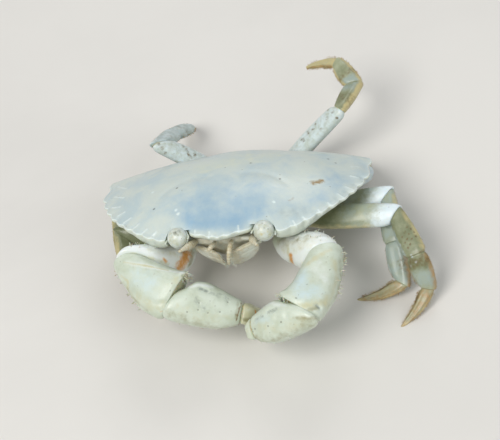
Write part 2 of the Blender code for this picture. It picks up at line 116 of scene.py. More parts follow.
def body_to_model(points: np.ndarray) -> np.ndarray:
    """Turn body places, in shares of the width, into model places.

    Args:
        points: Places in the body's own frame, any shape with three parts last.

    Returns:
        The same places in metres in the model.
    """
    points = np.asarray(points, float)
    cosine, sine = math.cos(BODY_PITCH), math.sin(BODY_PITCH)
    x, y, z = points[..., 0], points[..., 1], points[..., 2]
    turned = np.stack((x, y * cosine + z * sine, z * cosine - y * sine), axis=-1)
    return turned * WIDTH + BODY_PLACE


def model_to_body(points: np.ndarray) -> np.ndarray:
    """Turn model places into body places, in shares of the width."""
    places = (np.asarray(points, float) - BODY_PLACE) / WIDTH
    cosine, sine = math.cos(BODY_PITCH), math.sin(BODY_PITCH)
    x, y, z = places[..., 0], places[..., 1], places[..., 2]
    return np.stack((x, y * cosine - z * sine, z * cosine + y * sine), axis=-1)


def mirrored(point: Point, side: str) -> np.ndarray:
    """Take a point given for the crab's left to the asked side."""
    return np.array((point[0] * SIDES[side], point[1], point[2]), float)


def bezier(controls: np.ndarray, t: np.ndarray) -> np.ndarray:
    """Follow the Bezier curve through control points.

    Args:
        controls: Control points, one a row.
        t: Places along the curve, 0 to 1.

    Returns:
        One point for each place.
    """
    t = np.asarray(t, float)[:, None]
    points = [np.asarray(control, float)[None, :] for control in controls]
    while len(points) > 1:
        points = [a * (1 - t) + b * t for a, b in zip(points, points[1:])]
    return points[0]


def table_curve(t: np.ndarray, places: np.ndarray, values: np.ndarray) -> np.ndarray:
    """Run a smooth curve without overshoot through the rows of a table.

    Args:
        t: Where the curve is read.
        places: Rising places of the rows.
        values: Value at each row.

    Returns:
        The curve's value at each t.
    """
    places, values = np.asarray(places, float), np.asarray(values, float)
    step = np.diff(places)
    slope = np.diff(values) / step
    product = slope[:-1] * slope[1:]
    total = np.where(product > 0, slope[:-1] + slope[1:], 1.0)
    inner = np.where(product > 0, 2 * product / total, 0.0)
    bend = np.concatenate((slope[:1], inner, slope[-1:]))
    i = np.clip(np.searchsorted(places, t, side="right") - 1, 0, len(step) - 1)
    s = (t - places[i]) / step[i]
    start = (1 + 2 * s) * (1 - s) ** 2 * values[i] + s * (1 - s) ** 2 * step[i] * bend[i]
    end = s * s * (3 - 2 * s) * values[i + 1] + s * s * (s - 1) * step[i] * bend[i + 1]
    return start + end


def evened(line: np.ndarray, rounds: int) -> np.ndarray:
    """Give a closed line after rounds of drawing each point towards its neighbours."""
    for _ in range(rounds):
        line = line / 2 + (np.roll(line, 1, axis=0) + np.roll(line, -1, axis=0)) / 4
    return line


def path_distance(points: np.ndarray, path: list[np.ndarray]) -> np.ndarray:
    """Measure how far each point is from a path of straight stretches.

    Args:
        points: Points, one a row.
        path: Corners of the path, at least one.

    Returns:
        One distance for each point.
    """
    nearest = np.linalg.norm(points - path[0], axis=1)
    for a, b in zip(path, path[1:]):
        along = b - a
        share = np.clip((points - a) @ along / max(along @ along, 1e-18), 0, 1)
        nearest = np.minimum(nearest, np.linalg.norm(points - a - share[:, None] * along, axis=1))
    return nearest


@dataclass(frozen=True)
class PhotoView:
    """The photograph's viewpoint: it frames the render and places marks by pixel."""

    picture: Pixel = (500, 440)
    lens: float = 114.5
    sensor: float = 36.0
    yaw: float = math.radians(18.61)
    elevation: float = math.radians(48.0)
    roll: float = math.radians(-19.24)
    target: Point = (-5.06 * MM, 3.92 * MM, 0.0)
    distance: float = 288 * MM
    clip: Span = (0.01, 10.0)

    def axes(self) -> np.ndarray:
        """Give the right, up and back directions, one a row."""
        back = np.array((math.sin(self.yaw) * math.cos(self.elevation),
                         -math.cos(self.yaw) * math.cos(self.elevation),
                         math.sin(self.elevation)))
        level = np.array((math.cos(self.yaw), math.sin(self.yaw), 0.0))
        above = np.cross(back, level)
        right = level * math.cos(self.roll) + above * math.sin(self.roll)
        return np.stack((right, np.cross(back, right), back))

    def place(self) -> np.ndarray:
        """Give the place of the camera."""
        return np.array(self.target) + self.axes()[2] * self.distance

    def ray(self, pixel: Pixel) -> np.ndarray:
        """Give the direction from the camera through a pixel.

        Args:
            pixel: Place in the picture, from its top left corner.

        Returns:
            A direction of length one.
        """
        right, up, back = self.axes()
        scale = self.sensor / self.lens / self.picture[0]
        x = (pixel[0] - self.picture[0] / 2) * scale
        y = (self.picture[1] / 2 - pixel[1]) * scale
        return unit(right * x + up * y - back)

    def touch(self, tree: BVHTree, pixel: Pixel, near: np.ndarray) -> np.ndarray:
        """Find the place on a piece that a pixel shows.

        Args:
            tree: Search tree over the piece's faces.
            pixel: Place in the picture.
            near: The piece's middle, used where the pixel just misses it.

        Returns:
            A point on the piece.
        """
        start, ray = self.place(), self.ray(pixel)
        hit = tree.ray_cast(Vector(start), Vector(ray))[0]
        if hit is None:
            hit = tree.find_nearest(Vector(start + ray * ((near - start) @ ray)))[0]
        return np.array(hit)

    def build(self) -> bpy.types.Object:
        """Make the scene's camera."""
        data = bpy.data.cameras.new("photo_camera")
        data.lens = self.lens
        data.sensor_width = self.sensor
        data.clip_start, data.clip_end = self.clip
        camera = bpy.data.objects.new("photo_camera", data)
        turn = Matrix(self.axes().T.tolist()).to_4x4()
        camera.matrix_world = Matrix.Translation(Vector(self.place())) @ turn
        bpy.context.scene.collection.objects.link(camera)
        bpy.context.scene.camera = camera
        return camera


VIEW = PhotoView()


@dataclass
class Surface:
    """A closed skin with named values at its points."""

    points: np.ndarray
    quads: np.ndarray
    triangles: np.ndarray
    fields: dict[str, np.ndarray] = field(default_factory=dict)

    def corners(self) -> np.ndarray:
        """Give all faces as triangles."""
        if not len(self.quads):
            return self.triangles
        halves = np.concatenate((self.quads[:, (0, 1, 2)], self.quads[:, (0, 2, 3)]))
        return np.concatenate((halves, self.triangles)) if len(self.triangles) else halves

    def normals(self) -> np.ndarray:
        """Give the outward direction at each point."""
        corners = self.corners()
        a, b, c = (self.points[corners[:, k]] for k in range(3))
        faces = np.cross(b - a, c - a)
        total = np.zeros_like(self.points)
        for k in range(3):
            np.add.at(total, corners[:, k], faces)
        return unit(total)

    def turn_out(self) -> "Surface":
        """Make every face point outwards."""
        corners = self.corners()
        a, b, c = (self.points[corners[:, k]] for k in range(3))
        if np.einsum("ij,ij->i", a, np.cross(b, c)).sum() < 0:
            self.quads = self.quads[:, ::-1]
            self.triangles = self.triangles[:, ::-1]
        return self

    def push(self, height: np.ndarray) -> None:
        """Move each point along its outward direction by a height in metres."""
        self.points = self.points + self.normals() * height[:, None]

    def tree(self) -> BVHTree:
        """Build the search tree over the faces."""
        return BVHTree.FromPolygons(self.points.tolist(), self.corners().tolist())

    def join(self, other: "Surface") -> "Surface":
        """Put a second skin beside this one."""
        step = len(self.points)
        names = set(self.fields) & set(other.fields)
        merged = {name: np.concatenate((self.fields[name], other.fields[name])) for name in names}
        return Surface(np.concatenate((self.points, other.points)),
                       np.concatenate((self.quads, other.quads + step)),
                       np.concatenate((self.triangles, other.triangles + step)), merged)

    def to_object(self, name: str, tints: dict[str, np.ndarray] | None = None) -> bpy.types.Object:
        """Make the skin an object of the scene.

        Args:
            name: Name of the piece.
            tints: Values that the material reads, by attribute name.

        Returns:
            The object, at the origin, with its place in its mesh.
        """
        mesh = bpy.data.meshes.new(name)
        faces = self.quads.tolist() + self.triangles.tolist()
        mesh.from_pydata(self.points.tolist(), [], faces)
        for key, values in (tints or {}).items():
            layer = mesh.attributes.new(key, "FLOAT", "POINT")
            layer.data.foreach_set("value", np.clip(values, 0, 1).astype(np.float32))
        mesh.shade_smooth()
        thing = bpy.data.objects.new(name, mesh)
        bpy.context.scene.collection.objects.link(thing)
        return thing


def ring_surface(rings: np.ndarray, fields: dict[str, np.ndarray]) -> Surface:
    """Skin closed rings of points and close both ends with a pole.

    Args:
        rings: Points by ring and place in the ring.
        fields: Values by ring and place in the ring.

    Returns:
        The closed skin with its fields.
    """
    rows, count = rings.shape[:2]
    poles = np.stack((rings[0].mean(axis=0), rings[-1].mean(axis=0)))
    points = np.concatenate((rings.reshape(-1, 3), poles))
    index = np.arange(rows * count).reshape(rows, count)
    after = np.roll(index, -1, axis=1)
    quads = np.stack((index[:-1], after[:-1], after[1:], index[1:]), axis=-1).reshape(-1, 4)
    first = np.stack((after[0], index[0], np.full(count, rows * count)), axis=-1)
    last = np.stack((index[-1], after[-1], np.full(count, rows * count + 1)), axis=-1)
    values = {name: np.concatenate((grid.reshape(-1), (grid[0].mean(), grid[-1].mean())))
              for name, grid in fields.items()}
    return Surface(points, quads, np.concatenate((first, last)), values).turn_out()


@dataclass(frozen=True)
class Stroke:
    """A mark on a piece along pixels of the photograph.

    Width is in mm. The amount is a share of full strength, or mm of height for relief.
    """

    tint: Tint
    pixels: tuple[Pixel, ...]
    width: float
    amount: float = 1.0
    step: float = 4.0

    def trace(self, tree: BVHTree, middle: np.ndarray) -> list[np.ndarray]:
        """Find the mark's line on the piece."""
        pixels = [np.array(self.pixels[0], float)]
        for a, b in zip(self.pixels, self.pixels[1:]):
            a, b = np.array(a, float), np.array(b, float)
            count = max(int(np.linalg.norm(b - a) / self.step), 1)
            pixels += [a + (b - a) * (k + 1) / count for k in range(count)]
        return [VIEW.touch(tree, pixel, middle) for pixel in pixels]

    def mask(self, surface: Surface, tree: BVHTree) -> np.ndarray:
        """Give the mark's strength at each point of a surface."""
        line = self.trace(tree, surface.points.mean(axis=0))
        return self.amount * hump(path_distance(surface.points, line), 0.0, self.width * MM)


@dataclass(frozen=True)
class Band:
    """A mark round a limb piece between two shares of its length.

    Edge is 1 for the upper edge only, -1 for the lower edge only and 0 for all round.
    """

    tint: Tint
    start: float
    end: float
    amount: float = 1.0
    soft: float = 0.07
    edge: float = 0.0
    edge_reach: Span = (0.45, 0.98)

    def mask(self, surface: Surface, tree: BVHTree) -> np.ndarray:
        """Give the mark's strength at each point of a surface."""
        u, v = surface.fields["u"], surface.fields["v"]
        box = between(u, *((place - self.soft, place + self.soft) for place in (self.start, self.end)))
        if self.edge:
            box = box * smooth_step(v * self.edge, *self.edge_reach)
        return box * self.amount


@dataclass(frozen=True)
class Flutes:
    """Lengthwise ridges round a limb piece: how many, and their height in mm."""

    count: int
    height: float
    turn: float = 0.0
    rise: Span = (0.02, 0.25)
    fall: Span = (0.75, 0.97)

    def relief(self, surface: Surface) -> np.ndarray:
        """Give the height at each point in metres."""
        swell = between(surface.fields["u"], self.rise, self.fall)
        wave = np.cos(self.count * surface.fields["angle"] + self.turn)
        return wave * swell * self.height * MM


def dots(width: float, amount: float, *places: float) -> list[Row]:
    """Give the rows of round marks with one width and amount, from their pixels' x and y in turn."""
    return [(width, amount, x, y) for x, y in zip(places[::2], places[1::2])]


def marks(*bands: Band, **rows: list[Row]) -> tuple[Band | Stroke, ...]:
    """Gather the marks of one piece.

    Args:
        bands: Marks round the piece.
        rows: Strokes by the name of their tint: width, amount, then their pixels' x and y in turn.

    Returns:
        The bands and the strokes.
    """
    strokes = [Stroke(Tint(name), tuple(zip(row[2::2], row[3::2])), row[0], row[1])
               for name, lines in rows.items() for row in lines]
    return (*bands, *strokes)


def dress(surface: Surface, marks: tuple, reliefs: tuple = ()) -> dict[str, np.ndarray]:
    """Shape and tint a skin by its marks.

    Args:
        surface: The skin, which is moved by the relief.
        marks: Strokes and bands.
        reliefs: Flutes.

    Returns:
        The tints by name.
    """
    tree = surface.tree()
    tints = {tint.value: np.zeros(len(surface.points)) for tint in Tint}
    for mark in marks:
        mask = mark.mask(surface, tree)
        old = tints[mark.tint.value]
        if mark.tint is Tint.RELIEF:
            tints[mark.tint.value] = old + mask
        else:
            tints[mark.tint.value] = old + mask * (1 - old)
    height = tints.pop(Tint.RELIEF.value) * MM
    for relief in reliefs:
        height = height + relief.relief(surface)
    surface.push(height)
    return tints


# The far end of a piece that the next one turns in: a dish with a sharp rim
SOCKET = {"end_gap": -0.06 * MM, "rounding": (0.6 * MM, 0.16 * MM), "dish": (0.0, 0.7 * MM)}


@dataclass
class Sweep:
    """A limb piece: smooth sections along a curve, cut by a plane at each end."""

    path: list[np.ndarray]
    upper_edge: np.ndarray
    sections: tuple
    start_normal: np.ndarray | None = None
    end_normal: np.ndarray | None = None
    start_gap: float = GAP / 2
    end_gap: float = GAP / 2
    sides: int = 44
    rows: int = 44
    power: float = 2.3
    rounding: tuple[float, float] = (0.28 * MM, 0.28 * MM)
    dish: tuple[float, float] = (0.0, 0.0)
    even_share: float = 0.45
    crowded_share: float = 0.55
    cut_reach: float = 0.45
    thinnest: float = 0.05 * MM
    cap_shares: tuple = (0.15, 0.4, 0.65, 0.85)

    def stations(self) -> np.ndarray:
        """Give places along, closer together near both ends."""
        even = np.linspace(0, 1, self.rows)
        return self.even_share * even + self.crowded_share * (0.5 - 0.5 * np.cos(np.pi * even))

    def tangents(self, t: np.ndarray) -> np.ndarray:
        """Give the curve's direction at each t."""
        step = 0.01
        return unit(bezier(self.path, np.minimum(t + step, 1)) - bezier(self.path, np.maximum(t - step, 0)))

    def frames(self, t: np.ndarray) -> tuple[np.ndarray, np.ndarray, np.ndarray, np.ndarray]:
        """Give centre, direction, upper edge and outer face at each t."""
        tangent = self.tangents(t)
        edge = np.asarray(self.upper_edge, float)
        upper = unit(edge - tangent * (tangent @ edge)[:, None])
        return bezier(self.path, t), tangent, upper, np.cross(tangent, upper)

    def grid(self, t: np.ndarray, angle: np.ndarray) -> np.ndarray:
        """Give the skin's points at places along and angles round.

        Args:
            t: Places along, 0 to 1.
            angle: Angles round, 0 at the upper edge.

        Returns:
            Points by place along and angle.
        """
        centre, tangent, upper, outer = self.frames(t)
        table = np.array(self.sections, float)
        up, down, out = (table_curve(t, table[:, 0], table[:, k]) * MM for k in (1, 2, 3))
        length = np.linalg.norm(np.asarray(self.path[-1]) - np.asarray(self.path[0]))
        shrink = np.zeros_like(t)
        for depth, radius in ((t * length, self.rounding[0]), ((1 - t) * length, self.rounding[1])):
            lack = np.clip(radius - depth, 0, None)
            shrink += radius - np.sqrt(np.maximum(radius ** 2 - lack ** 2, 0))
        up, down, out = (np.maximum(reach - shrink, self.thinnest) for reach in (up, down, out))
        c, s = np.cos(angle), np.sin(angle)
        c = np.sign(c) * np.abs(c) ** (2 / self.power)
        s = np.sign(s) * np.abs(s) ** (2 / self.power)
        middle = centre + upper * ((up - down) / 2)[:, None]
        high = ((up + down) / 2)[:, None] * c
        wide = out[:, None] * s
        points = middle[:, None] + upper[:, None] * high[..., None] + outer[:, None] * wide[..., None]
        first, last = self.tangents(np.array((0.0, 1.0)))
        start = first if self.start_normal is None else self.start_normal
        end = last if self.end_normal is None else self.end_normal
        off = centre[:, None] - points
        near_start = np.maximum(0, 1 - t / self.cut_reach) / (tangent @ start)
        near_end = np.maximum(0, 1 - (1 - t) / self.cut_reach) / (tangent @ end)
        move = near_start[:, None] * (off @ start + self.start_gap)
        move = move + near_end[:, None] * (off @ end - self.end_gap)
        return points + tangent[:, None] * move[..., None]

    def surface(self) -> Surface:
        """Skin the piece, with its ends closed by shallow or deeper dishes."""
        t = self.stations()
        angle = 2 * np.pi * (np.arange(self.sides) + 0.5) / self.sides
        body = self.grid(t, angle)
        directions = self.tangents(np.array((0.0, 1.0)))
        shares = np.array(self.cap_shares)
        caps = []
        ends = ((body[0], directions[0], self.dish[0]), (body[-1], -directions[1], self.dish[1]))
        for ring, inward, dish in ends:
            middle = ring.mean(axis=0)
            sunk = (1 - shares ** 4)[:, None, None] * inward * dish
            caps.append(middle + (ring - middle) * shares[:, None, None] + sunk)
        rings = np.concatenate((caps[0], body, caps[1][::-1]))
        along = np.concatenate((np.zeros(len(shares)), t, np.ones(len(shares))))
        u = np.repeat(along[:, None], self.sides, axis=1)
        turn = np.repeat(angle[None], len(rings), axis=0)
        return ring_surface(rings, {"u": u, "angle": turn, "v": np.cos(turn)})


class Wiring:
    """A node tree being wired: nodes are added with their inputs linked or set."""

    def __init__(self, tree: bpy.types.NodeTree) -> None:
        """Start wiring a tree."""
        self.tree = tree

    def feed(self, socket: bpy.types.NodeSocket, value: object) -> None:
        """Link a socket to another, or set its own value."""
        if isinstance(value, bpy.types.NodeSocket):
            self.tree.links.new(value, socket)
        elif isinstance(value, tuple) and len(value) == 3 and socket.type == "RGBA":
            socket.default_value = (*value, 1.0)
        else:
            socket.default_value = value

    def add(self, kind: str, inputs: dict | None = None, **settings: object) -> bpy.types.Node:
        """Add one node.

        Args:
            kind: Blender's name of the node type.
            inputs: Values or sockets by input name or number.
            settings: Properties of the node.

        Returns:
            The new node.
        """
        node = self.tree.nodes.new(kind)
        for name, value in settings.items():
            setattr(node, name, value)
        for key, value in (inputs or {}).items():
            self.feed(node.inputs[key], value)
        return node

    def sum(self, operation: str, *values: object) -> bpy.types.NodeSocket:
        """Work out a number with one Math node."""
        return self.add("ShaderNodeMath", dict(enumerate(values)), operation=operation).outputs[0]

    def blend(self, share: object, first: object, second: object) -> bpy.types.NodeSocket:
        """Mix two colours by a share."""
        return self.add("ShaderNodeMix", {0: share, 6: first, 7: second}, data_type="RGBA").outputs[2]

    def ramp(self, value: object, low: float, high: float) -> bpy.types.NodeSocket:
        """Rise smoothly from 0 at low to 1 at high."""
        node = self.add("ShaderNodeMapRange", {0: value, 1: low, 2: high}, interpolation_type="SMOOTHSTEP")
        return node.outputs[0]

    def use(self, tree: bpy.types.NodeTree, values: dict[str, object]) -> bpy.types.NodeSocket:
        """Place a shared group with values or sockets by input name, and give its first output."""
        return self.add("ShaderNodeGroup", values, node_tree=tree).outputs[0]


def make_group(name: str, inputs: dict[str, tuple], outputs: dict[str, str]) -> tuple[Wiring, dict]:
    """Start a shader node group.

    Args:
        name: Name of the group.
        inputs: Socket kind and first value by input name.
        outputs: Socket kind by output name.

    Returns:
        The group's wiring and its input sockets by name.
    """
    tree = bpy.data.node_groups.new(name, "ShaderNodeTree")
    for key, (kind, value) in inputs.items():
        socket = tree.interface.new_socket(key, in_out="INPUT", socket_type=kind)
        if value is not None:
            socket.default_value = value
    for key, kind in outputs.items():
        tree.interface.new_socket(key, in_out="OUTPUT", socket_type=kind)
    wiring = Wiring(tree)
    entry = wiring.add("NodeGroupInput")
    return wiring, {key: entry.outputs[key] for key in inputs}


NUMBER = "NodeSocketFloat"
COLOUR = "NodeSocketColor"
VECTOR = "NodeSocketVector"


class Effects:
    """The shader groups that the finishes share, each built once."""

    def __init__(self) -> None:
        """Build the groups."""
        self.stain_and_painted_light = self.build_stain_and_painted_light()
        self.mottling = self.build_mottling()
        self.specks = self.build_specks()
        self.pores = self.build_pores()

    @staticmethod
    def build_stain_and_painted_light() -> bpy.types.NodeTree:
        """Lay a colour where a mask is, with a ragged border: real discolouring and painted light alike."""
        wiring, given = make_group("StainAndPaintedLight", {
            "Vector": (VECTOR, None), "Under": (COLOUR, None), "StainAndPaintedLight": (COLOUR, None),
            "Mask": (NUMBER, 0.0), "Scale": (NUMBER, 1.0), "Ragged": (NUMBER, 0.5)}, {"Colour": COLOUR})
        noise = wiring.add("ShaderNodeTexNoise", {"Vector": given["Vector"], "Scale": given["Scale"],
                                                  "Detail": 4.0, "Roughness": 0.62})
        shift = wiring.sum("MULTIPLY", wiring.sum("SUBTRACT", noise.outputs[0], 0.5), given["Ragged"])
        shift = wiring.sum("MULTIPLY", shift, wiring.ramp(given["Mask"], 0.02, 0.25))
        torn = wiring.sum("ADD", given["Mask"], wiring.sum("MULTIPLY", shift, 3.0))
        share = wiring.ramp(torn, 0.08, 0.92)
        wiring.add("NodeGroupOutput", {0: wiring.blend(share, given["Under"], given["StainAndPaintedLight"])})
        return wiring.tree

    @staticmethod
    def build_mottling() -> bpy.types.NodeTree:
        """Vary a colour in soft clouds and finer grains."""
        wiring, given = make_group("Mottling", {
            "Vector": (VECTOR, None), "First": (COLOUR, None), "Second": (COLOUR, None),
            "Scale": (NUMBER, 0.5), "Amount": (NUMBER, 0.5), "Grain": (NUMBER, 0.1)}, {"Colour": COLOUR})
        cloud = wiring.add("ShaderNodeTexNoise", {"Vector": given["Vector"], "Scale": given["Scale"],
                                                  "Detail": 5.0, "Roughness": 0.6, "Distortion": 0.4})
        share = wiring.sum("MULTIPLY", wiring.ramp(cloud.outputs[0], 0.38, 0.68), given["Amount"])
        mixed = wiring.blend(share, given["First"], given["Second"])
        fine = wiring.add("ShaderNodeTexNoise", {"Vector": given["Vector"], "Scale": 4.5, "Detail": 3.0,
                                                 "Roughness": 0.7})
        shift = wiring.sum("MULTIPLY", wiring.sum("SUBTRACT", fine.outputs[0], 0.5), given["Grain"])
        light = wiring.add("ShaderNodeBrightContrast", {"Color": mixed, "Bright": shift})
        wiring.add("NodeGroupOutput", {0: light.outputs[0]})
        return wiring.tree

    @staticmethod
    def build_specks() -> bpy.types.NodeTree:
        """Scatter small round specks of a colour."""
        wiring, given = make_group("Specks", {
            "Vector": (VECTOR, None), "Under": (COLOUR, None), "Speck": (COLOUR, None),
            "Scale": (NUMBER, 1.0), "Size": (NUMBER, 0.2), "Amount": (NUMBER, 0.5)}, {"Colour": COLOUR})
        cells = wiring.add("ShaderNodeTexVoronoi", {"Vector": given["Vector"], "Scale": given["Scale"]})
        chance = wiring.add("ShaderNodeSeparateColor", {0: cells.outputs["Color"]})
        size = wiring.sum("MULTIPLY", given["Size"], chance.outputs[0])
        inside = wiring.sum("SUBTRACT", size, cells.outputs["Distance"])
        share = wiring.sum("MULTIPLY", wiring.ramp(inside, 0.0, 0.06), given["Amount"])
        wiring.add("NodeGroupOutput", {0: wiring.blend(share, given["Under"], given["Speck"])})
        return wiring.tree

    @staticmethod
    def build_pores() -> bpy.types.NodeTree:
        """Raise fine granules and sink scattered pores, as a height."""
        wiring, given = make_group("Pores", {
            "Vector": (VECTOR, None), "Granules": (NUMBER, 4.0), "Rise": (NUMBER, 0.5),
            "Pits": (NUMBER, 1.2), "Sink": (NUMBER, 0.5), "Waves": (NUMBER, 0.4)}, {"Height": NUMBER})
        bumps = wiring.add("ShaderNodeTexVoronoi", {"Vector": given["Vector"], "Scale": given["Granules"]},
                           feature="SMOOTH_F1")
        rise = wiring.sum("MULTIPLY", wiring.sum("SUBTRACT", 0.6, bumps.outputs["Distance"]), given["Rise"])
        holes = wiring.add("ShaderNodeTexVoronoi", {"Vector": given["Vector"], "Scale": given["Pits"]})
        sink = wiring.sum("MULTIPLY", wiring.ramp(holes.outputs["Distance"], 0.0, 0.22), given["Sink"])
        swell = wiring.add("ShaderNodeTexNoise", {"Vector": given["Vector"], "Scale": 0.7, "Detail": 5.0})
        wave = wiring.sum("MULTIPLY", swell.outputs[0], given["Waves"])
        wiring.add("NodeGroupOutput", {0: wiring.sum("ADD", wiring.sum("ADD", rise, sink), wave)})
        return wiring.tree


@dataclass(frozen=True)
class StainAndPaintedLight:
    """How one tint shows in a finish, for real discolouring and painted light alike: its colour, blot size
    and raggedness.
    """

    tint: Tint
    colour: Colour
    scale: float
    ragged: float


def stains_and_painted_light_from(**rows: Row) -> tuple[StainAndPaintedLight, ...]:
    """Give a finish's tint layers, real discolouring and painted light alike, from rows by tint: red, green,
    blue, blot size and raggedness.
    """
    return tuple(StainAndPaintedLight(Tint(name), srgb(*row[:3]), *row[3:]) for name, row in rows.items())


def start_material(name: str) -> tuple[bpy.types.Material, Wiring, bpy.types.Node, bpy.types.NodeSocket]:
    """Start a material.

    Args:
        name: Name of the material.

    Returns:
        The material, its wiring, its shader and the place on the piece in mm.
    """
    material = bpy.data.materials.new(name)
    material.use_nodes = True
    wiring = Wiring(material.node_tree)
    shader = material.node_tree.nodes["Principled BSDF"]
    place = wiring.add("ShaderNodeTexCoord").outputs["Object"]
    vector = wiring.add("ShaderNodeVectorMath", {0: place, 3: 1 / MM}, operation="SCALE").outputs[0]
    return material, wiring, shader, vector


@dataclass(frozen=True)
class CrustFinish:
    """A finish of hard crab shell: clouded colour, specks, tinted layers of real discolouring, painted shade
    and painted light, pores and satin gloss.
    """

    name: str
    first: Colour
    second: Colour
    cloud: float = 0.35
    clouding: float = 0.6
    grain: float = 0.08
    speck: Colour = srgb(96, 92, 70)
    speck_scale: float = 1.1
    speck_size: float = 0.16
    specks: float = 0.5
    stains_and_painted_light: tuple[StainAndPaintedLight, ...] = ()
    granules: float = 4.0
    rise: float = 0.35
    pits: float = 1.1
    sink: float = 0.5
    waves: float = 0.8
    bump: float = 0.35
    roughness: tuple[float, float] = (0.36, 0.52)
    coat: float = 0.25
    coat_roughness: float = 0.22
    scatter: float = 0.12
    scatter_radius: Colour = (1.0, 0.8, 0.6)
    scatter_depth: float = 0.6 * MM
    bump_depth: float = 0.1 * MM

    def build(self, effects: Effects) -> bpy.types.Material:
        """Make the material.

        Args:
            effects: The shared shader groups.

        Returns:
            The finished material.
        """
        material, wiring, shader, vector = start_material(self.name)
        colour = wiring.use(effects.mottling, {
            "Vector": vector, "First": self.first, "Second": self.second, "Scale": self.cloud,
            "Amount": self.clouding, "Grain": self.grain})
        for stain_and_painted_light in self.stains_and_painted_light:
            mask = wiring.add("ShaderNodeAttribute", attribute_name=stain_and_painted_light.tint.value).outputs["Fac"]
            colour = wiring.use(effects.stain_and_painted_light, {
                "Vector": vector, "Under": colour, "StainAndPaintedLight": stain_and_painted_light.colour, "Mask": mask,
                "Scale": stain_and_painted_light.scale, "Ragged": stain_and_painted_light.ragged})
        colour = wiring.use(effects.specks, {
            "Vector": vector, "Under": colour, "Speck": self.speck, "Scale": self.speck_scale,
            "Size": self.speck_size, "Amount": self.specks})
        height = wiring.use(effects.pores, {
            "Vector": vector, "Granules": self.granules, "Rise": self.rise, "Pits": self.pits,
            "Sink": self.sink, "Waves": self.waves})
        bump = wiring.add("ShaderNodeBump", {"Height": height, "Strength": self.bump,
                                             "Distance": self.bump_depth})
        patch = wiring.add("ShaderNodeTexNoise", {"Vector": vector, "Scale": 0.8, "Detail": 3.0})
        gloss = wiring.add("ShaderNodeMapRange", {0: patch.outputs[0], 1: 0.3, 2: 0.7,
                                                  3: self.roughness[0], 4: self.roughness[1]})
        for name, value in {
            "Base Color": colour, "Roughness": gloss.outputs[0], "Normal": bump.outputs[0],
            "Coat Weight": self.coat, "Coat Roughness": self.coat_roughness,
            "Subsurface Weight": self.scatter, "Subsurface Scale": self.scatter_depth,
        }.items():
            wiring.feed(shader.inputs[name], value)
        shader.inputs["Subsurface Radius"].default_value = self.scatter_radius
        return material


@dataclass(frozen=True)
class PlainFinish:
    """A finish with one clouded colour, for bristles, membranes and the floor."""

    name: str
    first: Colour
    second: Colour
    cloud: float
    roughness: float
    scatter: float = 0.0
    bump: float = 0.0
    scatter_depth: float = 0.5 * MM
    bump_depth: float = 0.1 * MM

    def build(self, effects: Effects) -> bpy.types.Material:
        """Make the material.

        Args:
            effects: The shared shader groups.

        Returns:
            The finished material.
        """
        material, wiring, shader, vector = start_material(self.name)
        colour = wiring.use(effects.mottling, {
            "Vector": vector, "First": self.first, "Second": self.second, "Scale": self.cloud,
            "Amount": 1.0, "Grain": 0.03})
        for name, value in {
            "Base Color": colour, "Roughness": self.roughness, "Subsurface Weight": self.scatter,
            "Subsurface Scale": self.scatter_depth,
        }.items():
            wiring.feed(shader.inputs[name], value)
        if self.bump:
            grain = wiring.add("ShaderNodeTexNoise", {"Vector": vector, "Scale": 2.5, "Detail": 4.0})
            bump = wiring.add("ShaderNodeBump", {"Height": grain.outputs[0], "Strength": self.bump,
                                                 "Distance": self.bump_depth})
            wiring.feed(shader.inputs["Normal"], bump.outputs[0])
        return material


SHELL_FINISH = CrustFinish(
    "crab_shell", srgb(208, 218, 211), srgb(186, 205, 210), cloud=0.2, clouding=0.8, grain=0.07,
    speck=srgb(120, 122, 104), speck_scale=0.6, speck_size=0.11, specks=0.6,
    stains_and_painted_light=stains_and_painted_light_from(blue=(146, 180, 203, 0.35, 0.25), cream=(214, 221, 206, 0.4, 0.45),
                   # On the shell, brown is painted shade: it only tints the underside of the lip, as if in
                   # shadow.
                   grey=(160, 176, 176, 0.6, 0.4), brown=(140, 132, 96, 0.9, 0.5),
                   white=(226, 238, 236, 2.0, 0.3), rust=(150, 124, 74, 1.4, 0.5),
                   dot=(58, 62, 54, 3.0, 0.2)),
    granules=3.4, rise=0.25, pits=0.9, sink=0.35, waves=1.0, bump=0.30, roughness=(0.34, 0.46))
# Painted shade: both base colours are set a little darker than the claws' own colour.
CLAW_FINISH = CrustFinish(
    "crab_claw", srgb(209, 219, 203), srgb(187, 197, 174), cloud=0.4, clouding=0.6, grain=0.06,
    speck=srgb(120, 112, 82), speck_scale=0.9, speck_size=0.12, specks=0.5,
    stains_and_painted_light=stains_and_painted_light_from(blue=(205, 226, 232, 0.6, 0.3), white=(236, 242, 240, 0.8, 0.25),
                   cream=(204, 203, 168, 0.8, 0.4), olive=(146, 142, 104, 0.7, 0.4),
                   grey=(148, 158, 148, 1.6, 0.5), brown=(122, 98, 58, 1.6, 0.5),
                   rust=(214, 152, 74, 1.4, 0.4), dot=(66, 62, 46, 3.0, 0.15)),
    granules=3.0, rise=0.35, pits=1.0, sink=0.5, waves=0.9, bump=0.4, roughness=(0.30, 0.48))
# Painted shade: both base colours are set partway darker than the legs' own colour, towards how they look in
# the shade under the body.
LEG_FINISH = CrustFinish(
    "crab_leg", srgb(168, 173, 144), srgb(138, 142, 106), cloud=0.5, clouding=0.6, grain=0.07,
    speck=srgb(104, 88, 52), speck_scale=1.3, speck_size=0.16, specks=0.4,
    stains_and_painted_light=stains_and_painted_light_from(olive=(102, 110, 74, 0.6, 0.25), blue=(158, 173, 166, 0.8, 0.35),
                   cream=(200, 188, 140, 0.9, 0.4), white=(222, 235, 238, 1.0, 0.3),
                   rust=(172, 134, 80, 1.1, 0.4), brown=(110, 92, 52, 1.5, 0.5),
                   grey=(142, 152, 138, 0.9, 0.6), dot=(60, 50, 34, 3.0, 0.3)),
    granules=4.0, rise=0.3, pits=1.4, sink=0.4, waves=0.9, bump=0.35, roughness=(0.32, 0.5),
    scatter=0.25)
